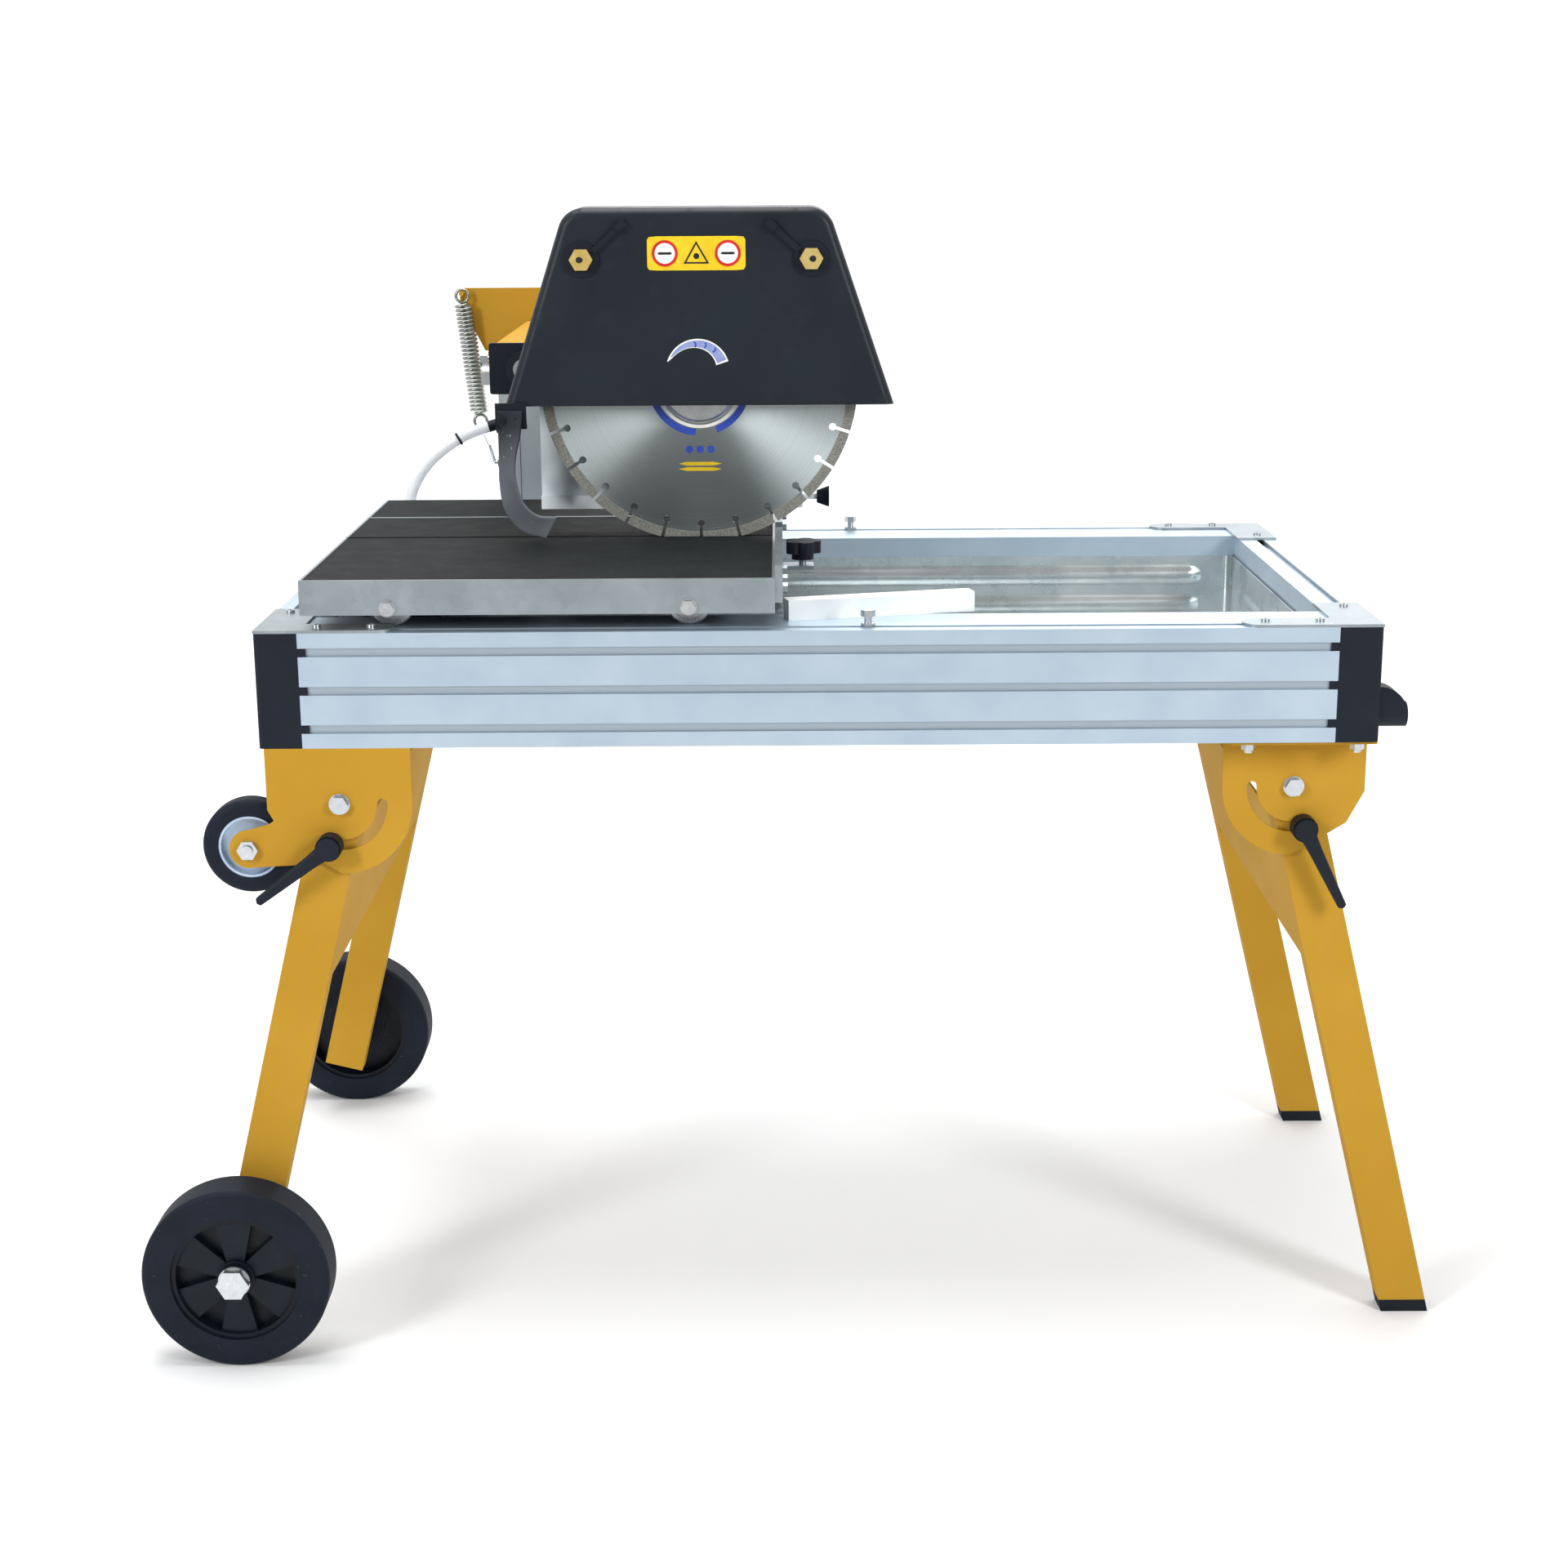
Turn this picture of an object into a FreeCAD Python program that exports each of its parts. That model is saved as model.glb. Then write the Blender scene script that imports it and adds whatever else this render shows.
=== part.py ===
"""Wheeled tile and masonry saw: slotted aluminium frame, water tray, sliding cart,
sprung swing head with a 350 mm blade, and folding legs. Millimetres, +Z up.

X runs along the frame (the cart slides that way), Y from the front rail to the rear
one, and Z up from the floor. Shapes are drawn about the middle of the frame and are
moved together at the end, so that the origin is under the middle of the whole saw.
"""
import FreeCAD
import Part
import os
from math import acos, atan2, cos, hypot, pi, radians, sin, sqrt, tan

V = FreeCAD.Vector

# ---- driving dimensions: frame
FRAME_LENGTH = 1150.0
FRAME_WIDTH = 700.0
FRAME_TOP = 785.0
RAIL_HEIGHT = 120.0
RAIL_WIDTH = 45.0
POST_SIZE = 45.0
POST_ROUND = 5.0
SLOT_FIRST = 20.0
SLOT_COUNT = 3
SLOT_MOUTH = 9.0
SLOT_LIP = 2.5
SLOT_DEPTH = 7.5
SLOT_INSIDE = 18.0
RAIL_WALL = 4.0
GROOVE_DEPTH = 3.0
TONGUE_LONG = 8.0
TONGUE_GAP = 0.2
TRACK_WIDTH = 45.0
TRACK_HEIGHT = 24.0
TRACK_WALL = 3.0
PLATE_THICK = 3.0
PLATE_ARM_X = 142.0
PLATE_ARM_Y = 125.0
PLATE_WIDE_X = 38.0
PLATE_WIDE_Y = 48.0
SCREW_R = 4.5
SCREW_HIGH = 3.0

# ---- driving dimensions: tray, pump and hose
TRAY_GAP = 3.0
TRAY_WALL = 1.5
TRAY_DEPTH = 88.0
TRAY_FLANGE = 12.0
TRAY_STEP = 8.0
DRAIN_X = 400.0
DRAIN_R = 14.0
PUMP_R = 30.0
PUMP_HIGH = 70.0
PUMP_X = -490.0
PUMP_BACK = FRAME_WIDTH - 140.0
PIPE_R = 7.0
PIPE_X = -508.0
PIPE_BACK = FRAME_WIDTH - 60.0
PIPE_LOW = 720.0
PIPE_TOP = 800.0
HOSE_R = 7.0
HOLE_GAP = 0.5

# ---- driving dimensions: cart
CART_LEFT = -527.0
CART_LENGTH = 483.0
CART_FRONT = 10.0
CART_REAR = FRAME_WIDTH - 100.0
CART_TOP = 838.0
CART_PLATE = 3.0
CART_SKIRT_LOW = 802.0
CART_END_LOW = 808.0
BOARD_THICK = 18.0
BOARD_SPLIT = 440.0
STRIP_THICK = 4.0
BLADE_SLOT = 8.0
ROLLER_R = 24.0
ROLLER_WIDE = 11.0
ROLLER_FRONT = 39.0
ROLLER_REAR = FRAME_WIDTH - 94.0
ROLLER_INSETS = (89.0, 395.0)
ROLLER_AXLE_R = 4.0
ROLLER_CLEAR = 1.5
FENCE_THICK = 8.0
FENCE_UP = 12.0
FENCE_GAP = 40.0
KNOB_BACK = 214.0
RUN_GAP = 0.05

# ---- driving dimensions: head
BLADE_X = -127.0
BLADE_Z = 1007.0
BLADE_BACK = 292.0
BLADE_R = 175.0
BLADE_CORE = 2.2
SEGMENT_THICK = 3.2
SEGMENT_DEEP = 12.0
SEGMENTS = 25
GULLET = 3.5
GULLET_DEEP = 20.0
GULLET_HOLE_R = 4.0
FLANGE_R = 44.0
SPINDLE_R = 12.5
PIVOT_X = -325.0
PIVOT_Z = 1020.0
PIVOT_R = 12.0
GUARD_FRONT = 255.0
GUARD_BACK = 335.0
GUARD_LOW = 987.0
GUARD_HIGH = 1198.0
GUARD_LEFT_LOW = -339.0
GUARD_RIGHT_LOW = 87.0
GUARD_LEFT_HIGH = -269.0
GUARD_RIGHT_HIGH = 15.0
GUARD_CORNER = 28.0
GUARD_BEND = 10.0
GUARD_WALL = 3.0
FITTING_Z = 1144.0
FITTING_SPAN = 124.0
ARM_THICK = 10.0
ARM_HUB = 20.0
ARM_MOTOR = 62.0
MOTOR_R = 75.0
MOTOR_LONG = 215.0
COVER_LONG = 50.0
SPLASH_LEFT = -308.0
SPLASH_RIGHT = -13.0
SPLASH_LOW = 865.0
SPLASH_HIGH = 1003.0
SPLASH_WALL = 2.0
LIP_DEEP = 9.0
LIP_HIGH = 15.0

# ---- driving dimensions: column, beam, lever and spring
COLUMN_X = -389.0
COLUMN_WIDE = 57.0
COLUMN_DEEP = 55.0
COLUMN_WALL = 4.0
SHOE_HIGH = 34.0
SHOE_PROUD = 4.0
BEAM_HIGH = 53.0
BEAM_WIDE = 60.0
BEAM_LEFT = -363.0
BEAM_FRONT = 356.0
BEAM_REAR = FRAME_WIDTH + 42.0
BEAM_WALL = 4.0
CAP_THICK = 8.0
BUSH_LONG = 30.0
LEVER_THICK = 4.0
LEVER_LEFT = -445.0
LEVER_HIGH = 1088.0
SPRING_R = 11.5
SPRING_WIRE = 1.5
SPRING_TURNS = 16
SPRING_TOP_X = -440.0
SPRING_LOW_X = -424.0
SPRING_TOP = 1070.0
SPRING_LOW = 930.0
EYE_R = 8.0
EYE_RISE = 9.0
HOOK_R = 3.0
HOOK_GAP = 0.4
ANCHOR_Z = 873.0
ANCHOR_R = 2.0

# ---- driving dimensions: legs and wheels
PIVOT_DOWN = 59.0
LEG_PIVOT_LEFT = 80.0 - FRAME_LENGTH / 2
LEG_PIVOT_RIGHT = FRAME_LENGTH / 2 - 75.0
LEG_LEAN = 14.0
LEG_WIDE = 50.0
LEG_DEEP = 30.0
LEG_WALL = 2.5
LEFT_PLATE_BACK = 0.0
RIGHT_PLATE_BACK = 50.0
BRACKET_THICK = 3.5
LEG_CLEAR = 1.5
BRACKET_HALF = 75.0
CLAMP_ARM = 44.0
FOLD = 104.0
CLAMP_SLOT = 11.0
STUD_R = 5.0
PIVOT_BOLT_R = 6.0
WHEEL_R = 100.0
WHEEL_WIDE = 50.0
WHEEL_GAP = 9.0
HUB_R = 69.0
AXLE_R = 10.0
SMALL_R = 50.0
SMALL_RIM = 33.0
SMALL_WIDE = 28.0
SMALL_OUT = 97.0
SMALL_DOWN = 48.0
SMALL_AXLE_R = 6.0
FOOT_HIGH = 14.0
PANEL_THICK = 3.0
PANEL_LOW = 416.0
HANDLE_OUT = 31.0
HANDLE_UP = 12.0
HANDLE_WIDE = 26.0
HANDLE_GRIP_R = 9.0

# ---- worked out from the dimensions above
HALF_L = FRAME_LENGTH / 2
FRONT = -FRAME_WIDTH / 2
BOTTOM = FRAME_TOP - RAIL_HEIGHT
CART_RIGHT = CART_LEFT + CART_LENGTH
AXLE_Z = FRAME_TOP + ROLLER_R
LEG_PIVOT_Z = BOTTOM - PIVOT_DOWN
ARM_BACK = GUARD_BACK + ARM_THICK
BEAM_LOW = PIVOT_Z - BEAM_HIGH / 2
BEAM_TOP = PIVOT_Z + BEAM_HIGH / 2

made = {}


# ---- small drawing helpers
def back(distance):
    """Y of a plane that lies this far behind the frame's front face."""
    return FRONT + distance


def block(x0, x1, y0, y1, z0, z1):
    return Part.makeBox(x1 - x0, y1 - y0, z1 - z0, V(x0, y0, z0))


def rod(x, y, z, axis, radius, length):
    return Part.makeCylinder(radius, length, V(x, y, z), axis)


def ring(x, y, z, axis, outer, inner, length):
    return rod(x, y, z, axis, outer, length).cut(rod(x, y, z, axis, inner, length))


def hexagon(x, y, z, axis, across, length):
    """A hexagonal prism, `across` being the distance across its flats."""
    reach = across / sqrt(3)
    corners = [V(reach * cos(radians(60 * k)), reach * sin(radians(60 * k)), 0) for k in range(7)]
    solid = Part.Face(Part.makePolygon(corners)).extrude(V(0, 0, length))
    solid.Placement = FreeCAD.Placement(V(x, y, z), FreeCAD.Rotation(V(0, 0, 1), axis))
    return solid


def plate_xz(points, y0, y1):
    """A flat plate with this outline in X and Z, from y0 to y1."""
    corners = [V(x, y0, z) for x, z in points]
    return Part.Face(Part.makePolygon(corners + corners[:1])).extrude(V(0, y1 - y0, 0))


def section_x(points, x0, x1):
    """A bar with this outline in Y and Z, from x0 to x1."""
    corners = [V(x0, y, z) for y, z in points]
    return Part.Face(Part.makePolygon(corners + corners[:1])).extrude(V(x1 - x0, 0, 0))


def fused(shapes):
    return shapes[0].multiFuse(shapes[1:]).removeSplitter() if len(shapes) > 1 else shapes[0]


def group(shapes):
    return Part.makeCompound(shapes)


def rear_copy(shape):
    """The same piece on the rear side: mirrored about the middle plane of the width."""
    return shape.mirror(V(0, 0, 0), V(0, 1, 0))


def end_copy(shape):
    """The same piece at the right end: mirrored about the middle of the length."""
    return shape.mirror(V(0, 0, 0), V(1, 0, 0))


def pair(shape):
    return group([shape, rear_copy(shape)])


def rounded(shape, radius, keep):
    """Round the edges of a shape for which keep(edge) is true."""
    return shape.makeFillet(radius, [edge for edge in shape.Edges if keep(edge)])


def runs_along(edge, axis):
    ends = [vertex.Point for vertex in edge.Vertexes]
    return len(ends) == 2 and abs((ends[1] - ends[0]).normalize().dot(axis)) > 0.999


AX = V(1, 0, 0)
AY = V(0, 1, 0)
AZ = V(0, 0, 1)


# ---- frame
def slot_cut(y, z, out_y, out_z, x0, x1):
    """The empty space of one T slot, whose mouth is at (y, z) facing (out_y, out_z)."""
    side = (out_z, out_y)

    def at(across, depth):
        return (y + side[0] * across - out_y * depth, z + side[1] * across - out_z * depth)

    mouth = SLOT_MOUTH / 2
    inside = SLOT_INSIDE / 2
    outline = [at(-mouth, -1), at(mouth, -1), at(mouth, SLOT_LIP), at(inside, SLOT_LIP),
               at(inside, SLOT_LIP + 1.5), at(mouth, SLOT_DEPTH), at(-mouth, SLOT_DEPTH),
               at(-inside, SLOT_LIP + 1.5), at(-inside, SLOT_LIP), at(-mouth, SLOT_LIP)]
    return section_x(outline, x0, x1)


def groove_levels(gap):
    """Low and high Z of each groove in the outer face, drawn in by a gap."""
    pitch = RAIL_HEIGHT / SLOT_COUNT
    middles = [FRAME_TOP - (k + 0.5) * pitch for k in range(SLOT_COUNT)]
    half = SLOT_MOUTH / 2 - gap
    return [(z - half, z + half) for z in middles]


def rail(length):
    """A hollow profile along X: a T slot on top, shallow grooves in its face at Y = FRONT."""
    x0, x1 = -length / 2, length / 2
    body = block(x0, x1, FRONT, FRONT + RAIL_WIDTH, BOTTOM, FRAME_TOP)
    cuts = [slot_cut(FRONT + SLOT_FIRST, FRAME_TOP, 0, 1, x0 - 1, x1 + 1)]
    for low, high in groove_levels(0):
        cuts.append(block(x0 - 1, x1 + 1, FRONT - 1, FRONT + GROOVE_DEPTH, low, high))
    deep = FRONT + GROOVE_DEPTH + RAIL_WALL
    floors = [BOTTOM + RAIL_WALL, BOTTOM + RAIL_HEIGHT / 3, BOTTOM + 2 * RAIL_HEIGHT / 3]
    roofs = [floors[1] - RAIL_WALL, floors[2] - RAIL_WALL, FRAME_TOP - SLOT_DEPTH - RAIL_WALL]
    for low, high in zip(floors, roofs):
        cuts.append(block(x0 - 1, x1 + 1, deep, FRONT + RAIL_WIDTH - RAIL_WALL, low, high))
    return body.cut(group(cuts))


def end_rail():
    """The same profile across the right end, between the corner posts."""
    shape = rail(FRAME_WIDTH - 2 * POST_SIZE)
    shape.rotate(V(0, 0, 0), AZ, 90)
    shape.translate(V(HALF_L - FRAME_WIDTH / 2, 0, 0))
    return shape


def corner_posts():
    """Moulded posts; a short tongue on each fills the ends of the rail's grooves."""
    post = block(HALF_L - POST_SIZE, HALF_L, FRONT, FRONT + POST_SIZE, BOTTOM, FRAME_TOP)
    post = rounded(post, POST_ROUND, lambda e: runs_along(e, AZ)
                   and e.Vertexes[0].X > HALF_L - 1 and e.Vertexes[0].Y < FRONT + 1)
    inner = HALF_L - POST_SIZE
    tongues = [block(inner - TONGUE_LONG, inner, FRONT + TONGUE_GAP, FRONT + GROOVE_DEPTH - TONGUE_GAP,
                     low, high) for low, high in groove_levels(TONGUE_GAP)]
    post = fused([post] + tongues)
    front = [post, end_copy(post)]
    return group(front + [rear_copy(shape) for shape in front])


def corner_plate():
    """An L of sheet over the right front corner, its X arm ending in a half round."""
    tip = PLATE_WIDE_X / 2
    x_in = HALF_L - PLATE_ARM_X + tip
    long_arm = block(x_in, HALF_L, FRONT, FRONT + PLATE_WIDE_X, FRAME_TOP, FRAME_TOP + PLATE_THICK)
    tip_disc = rod(x_in, FRONT + tip, FRAME_TOP, AZ, tip, PLATE_THICK)
    short_arm = block(HALF_L - PLATE_WIDE_Y, HALF_L, FRONT, FRONT + PLATE_ARM_Y,
                      FRAME_TOP, FRAME_TOP + PLATE_THICK)
    return fused([long_arm, tip_disc, short_arm])


def corner_screws():
    """Low round heads on the corner plates, three to a plate."""
    top = FRAME_TOP + PLATE_THICK
    spots = [(HALF_L - PLATE_ARM_X + 24, FRONT + SLOT_FIRST), (HALF_L - 62, FRONT + SLOT_FIRST),
             (HALF_L - SLOT_FIRST, FRONT + PLATE_ARM_Y - 22)]
    heads = []
    for x, y in spots:
        head = rod(x, y, top, AZ, SCREW_R, SCREW_HIGH)
        head = head.cut(hexagon(x, y, top + SCREW_HIGH / 2, AZ, SCREW_R, SCREW_HIGH))
        heads.append(head)
    heads += [end_copy(head) for head in heads]
    return heads + [rear_copy(head) for head in heads]


def roller_track():
    """A hollow strip on the inside of the long rail, flush with its top."""
    half = HALF_L - POST_SIZE
    y0 = FRONT + RAIL_WIDTH
    y1 = y0 + TRACK_WIDTH
    low = FRAME_TOP - TRACK_HEIGHT
    solid = block(-half, half, y0, y1, low, FRAME_TOP)
    inside = block(-half - 1, half + 1, y0 + TRACK_WALL, y1 - TRACK_WALL,
                   low + TRACK_WALL, FRAME_TOP - TRACK_WALL)
    return solid.cut(inside)


def tracks():
    rear = rear_copy(roller_track())
    hole = rod(PIPE_X, back(PIPE_BACK), FRAME_TOP - TRACK_HEIGHT - 1, AZ,
               PIPE_R + HOLE_GAP, TRACK_HEIGHT + 2)
    return group([roller_track(), rear.cut(hole)])


def rail_bolts():
    """A hexagon-headed bolt standing in the top slot of each long rail."""
    x, y = 51.0, FRONT + SLOT_FIRST
    head_low = FRAME_TOP + 11
    bolt = fused([rod(x, y, FRAME_TOP - SLOT_LIP, AZ, 4, head_low - FRAME_TOP + SLOT_LIP + 1),
                  hexagon(x, y, head_low, AZ, 13, 6.5),
                  hexagon(x, y, FRAME_TOP, AZ, 13, 4)])
    return [bolt, rear_copy(bolt)]


def guide_bar():
    """A loose-cut square bar, clamped across the front track as a stop."""
    side, length = 22.0, 202.0
    bar = block(0, length, 0, side, FRAME_TOP, FRAME_TOP + side - 1)
    bar.rotate(V(0, 0, 0), AZ, 14)
    bar.translate(V(-30, back(54), 0))
    return bar


def lifting_handle():
    """A grip tube along the right end, held off it by two quarter-round cheeks."""
    wide = HANDLE_WIDE
    level = BOTTOM + HANDLE_UP + wide / 2
    y0 = FRONT + POST_SIZE / 2 - wide / 2
    grip_x = HALF_L + HANDLE_OUT - HANDLE_GRIP_R
    cheek = rod(HALF_L, y0, level, AY, HANDLE_OUT, wide)
    cheek = cheek.common(block(HALF_L, HALF_L + HANDLE_OUT, y0, y0 + wide, level, level + HANDLE_OUT))
    boss = rod(HALF_L, y0 + wide / 2, level, AX, wide / 2, HANDLE_OUT)
    grip = rod(grip_x, -FRAME_WIDTH / 2 + POST_SIZE / 2, level, AY, HANDLE_GRIP_R,
               FRAME_WIDTH - POST_SIZE)
    return fused([cheek, boss, grip, rear_copy(cheek), rear_copy(boss)])


# ---- water: tray, plug, pump, pipe and hose
def water_tray():
    """An open pressed tray with a shallow step in its floor and a flange round it."""
    x1 = HALF_L - POST_SIZE - TRAY_GAP
    y1 = FRAME_WIDTH / 2 - RAIL_WIDTH - TRACK_WIDTH
    rim = FRAME_TOP - TRACK_HEIGHT
    low = rim - TRAY_DEPTH
    shell = block(-x1, x1, -y1, y1, low, rim)
    shell = rounded(shell, 12, lambda e: runs_along(e, AZ))
    hollow = block(TRAY_WALL - x1, x1 - TRAY_WALL, TRAY_WALL - y1, y1 - TRAY_WALL,
                   low + TRAY_WALL, rim + 1)
    hollow = rounded(hollow, 12 - TRAY_WALL, lambda e: runs_along(e, AZ))
    shell = shell.cut(hollow)
    flange = block(-x1, x1, y1 - TRAY_WALL, y1 + TRAY_FLANGE, rim - TRAY_WALL, rim)
    step_in, step_x, step_left = 60.0, x1 - 70, PUMP_X + PUMP_R + 3
    dish = block(step_left, step_x, step_in - y1, y1 - step_in, low + TRAY_WALL, low + TRAY_STEP)
    dish = rounded(dish, 20, lambda e: runs_along(e, AZ))
    inner = block(TRAY_WALL + step_left, step_x - TRAY_WALL, step_in - y1 + TRAY_WALL,
                  y1 - step_in - TRAY_WALL, low - 1, low + TRAY_STEP - TRAY_WALL)
    inner = rounded(inner, 20 - TRAY_WALL, lambda e: runs_along(e, AZ))
    tray = fused([shell, dish, flange, rear_copy(flange)]).cut(inner)
    drain = rod(DRAIN_X, 0, low - 1, AZ, DRAIN_R, TRAY_STEP + 2)
    pipe = rod(PIPE_X, y1 - 9, PIPE_LOW, AY, PIPE_R + HOLE_GAP, 18)
    return tray.cut(group([drain, pipe]))


def tray_low():
    return FRAME_TOP - TRACK_HEIGHT - TRAY_DEPTH


def drain_plug():
    top = tray_low() + TRAY_STEP
    stem = rod(DRAIN_X, 0, tray_low() - 8, AZ, DRAIN_R - 0.2, top - tray_low() + 8)
    head = rod(DRAIN_X, 0, top, AZ, DRAIN_R + 5, 4)
    grip = block(DRAIN_X - 3, DRAIN_X + 3, -10, 10, top + 4, top + 14)
    return fused([stem, head, grip])


def water_pump():
    """A small submersible pump that stands on the tray's floor under the hose."""
    low = tray_low() + TRAY_WALL
    y = back(PUMP_BACK)
    base = rod(PUMP_X, y, low, AZ, PUMP_R - 4, 12)
    body = rod(PUMP_X, y, low + 12, AZ, PUMP_R, PUMP_HIGH - 24)
    cap = Part.makeCone(PUMP_R, PUMP_R - 12, 12, V(PUMP_X, y, low + PUMP_HIGH - 12), AZ)
    ribs = [ring(PUMP_X, y, low + 18 + 9 * k, AZ, PUMP_R + 1, PUMP_R - 2, 4) for k in range(3)]
    return fused([base, body, cap] + ribs)


def pump_pipe():
    """The rigid elbow from the pump up through the rear track to the hose."""
    y1, y0 = back(PIPE_BACK), back(PUMP_BACK) + PUMP_R * 0.5
    up = rod(PIPE_X, y1, PIPE_LOW, AZ, PIPE_R, PIPE_TOP - PIPE_LOW)
    level = rod(PIPE_X, y0, PIPE_LOW, AY, PIPE_R, y1 - y0)
    ball = Part.makeSphere(PIPE_R, V(PIPE_X, y1, PIPE_LOW))
    collar = rod(PIPE_X, y1, FRAME_TOP, AZ, PIPE_R + 4, 5)
    return fused([up, level, ball, collar])


HOSE_ROUTE = [V(PIPE_X, back(PIPE_BACK), PIPE_TOP), V(-506, back(PIPE_BACK + 1), 829),
              V(-496, back(PIPE_BACK + 4), 857), V(-478, back(PIPE_BACK + 9), 881),
              V(-454, back(PIPE_BACK + 15), 900), V(-427, back(PIPE_BACK + 20), 915),
              V(COLUMN_X - 16, back(PIPE_BACK + 23), 921)]


def hose_path(points):
    """Straight runs joined by tangent arcs, each as large as its two runs allow."""
    edges, start = [], points[0]
    for before, corner, after in zip(points, points[1:], points[2:]):
        into, out = corner - before, after - corner
        short = min(into.Length, out.Length)
        half = into.getAngle(out) / 2
        reach = 0.45 * short
        a = corner - V(into).normalize() * reach
        b = corner + V(out).normalize() * reach
        radius = reach / tan(half)
        print("hose turn radius %.0f mm" % radius)
        middle = V(out).normalize() - V(into).normalize()
        middle.normalize()
        peak = corner + middle * (radius / cos(half) - radius)
        edges.append(Part.makeLine(start, a))
        edges.append(Part.Arc(a, peak, b).toShape())
        start = b
    edges.append(Part.makeLine(start, points[-1]))
    return Part.Wire(edges)


def hose():
    path = hose_path(HOSE_ROUTE)
    first = HOSE_ROUTE[1] - HOSE_ROUTE[0]
    disc = Part.Wire(Part.makeCircle(HOSE_R, HOSE_ROUTE[0], first))
    tube = path.makePipeShell([disc], True, True)
    print("hose length %.0f mm, volume ratio %.4f"
          % (path.Length, tube.Volume / (pi * HOSE_R ** 2 * path.Length)))
    return tube


def hose_fitting():
    """The barbed elbow on the column."""
    end, run = HOSE_ROUTE[-1], HOSE_ROUTE[-1] - HOSE_ROUTE[-2]
    at_column = end + run * ((COLUMN_X - 4 - end.x) / run.x)
    barb = rod(end.x, end.y, end.z, run, HOSE_R, (at_column - end).Length)
    nut = hexagon(COLUMN_X - 6, at_column.y, at_column.z, AX, 20, 6)
    return fused([barb, nut])


# ---- column, beam, lever, spring
def column():
    y1 = FRAME_WIDTH / 2
    low = FRAME_TOP + SHOE_HIGH / 2
    tube = block(COLUMN_X, COLUMN_X + COLUMN_WIDE, y1 - COLUMN_DEEP, y1, low, BEAM_LOW)
    hollow = block(COLUMN_X + COLUMN_WALL, COLUMN_X + COLUMN_WIDE - COLUMN_WALL,
                   y1 - COLUMN_DEEP + COLUMN_WALL, y1 - COLUMN_WALL, low, BEAM_LOW - COLUMN_WALL)
    slot = block(COLUMN_X + COLUMN_WIDE / 2 - 4, COLUMN_X + COLUMN_WIDE / 2 + 4,
                 y1 - COLUMN_DEEP - 1, y1 - COLUMN_DEEP + 1.5, low - 1, BEAM_LOW + 1)
    return tube.cut(group([hollow, slot]))


def column_shoe():
    y1 = FRAME_WIDTH / 2
    outer = block(COLUMN_X - SHOE_PROUD, COLUMN_X + COLUMN_WIDE + SHOE_PROUD,
                  y1 - COLUMN_DEEP - SHOE_PROUD, y1, FRAME_TOP, FRAME_TOP + SHOE_HIGH)
    seat = block(COLUMN_X, COLUMN_X + COLUMN_WIDE, y1 - COLUMN_DEEP, y1 + 1,
                 FRAME_TOP + SHOE_HIGH / 2, FRAME_TOP + SHOE_HIGH + 1)
    return outer.cut(seat)


def beam():
    y0, y1 = back(BEAM_FRONT), back(BEAM_REAR)
    x1 = BEAM_LEFT + BEAM_WIDE
    tube = block(BEAM_LEFT, x1, y0, y1, BEAM_LOW, BEAM_TOP)
    tube = rounded(tube, 5, lambda e: runs_along(e, AY))
    hollow = block(BEAM_LEFT + BEAM_WALL, x1 - BEAM_WALL, y0 + BUSH_LONG, y1 - BUSH_LONG,
                   BEAM_LOW + BEAM_WALL, BEAM_TOP - BEAM_WALL)
    bore = rod(PIVOT_X, y0 - 1, PIVOT_Z, AY, PIVOT_R + 4, y1 - y0 + 2)
    return tube.cut(group([hollow, bore]))


def beam_bushes():
    y0, y1 = back(BEAM_FRONT), back(BEAM_REAR)
    return group([ring(PIVOT_X, y, PIVOT_Z, AY, PIVOT_R + 4, PIVOT_R + RUN_GAP, BUSH_LONG)
                  for y in (y0, y1 - BUSH_LONG)])


def beam_cap():
    y1 = back(BEAM_FRONT)
    cap = block(BEAM_LEFT - 2, BEAM_LEFT + BEAM_WIDE + 2, y1 - CAP_THICK, y1,
                BEAM_LOW - 2, BEAM_TOP + 2)
    cap = rounded(cap, 3, lambda e: runs_along(e, AY))
    return cap.cut(rod(PIVOT_X, y1 - CAP_THICK - 1, PIVOT_Z, AY, PIVOT_R + 1, CAP_THICK + 2))


def travel_stop():
    """The travel stop on the beam's left cheek: a bolt, its nut and a rubber block."""
    y = back(BEAM_FRONT + 22)
    return fused([block(BEAM_LEFT - 14, BEAM_LEFT, y - 9, y + 9, PIVOT_Z - 20, PIVOT_Z - 6),
                  rod(BEAM_LEFT - 14, y, PIVOT_Z + 9, AX, 3, 14),
                  hexagon(BEAM_LEFT - 15, y, PIVOT_Z + 9, AX, 15, 9)])


def pivot_shaft():
    y0, y1 = back(GUARD_BACK), back(BEAM_REAR) + 3 + LEVER_THICK
    shaft = rod(PIVOT_X, y0, PIVOT_Z, AY, PIVOT_R, y1 - y0)
    nut = hexagon(PIVOT_X, y1, PIVOT_Z, AY, 30, 10)
    return fused([shaft, nut])


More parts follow.
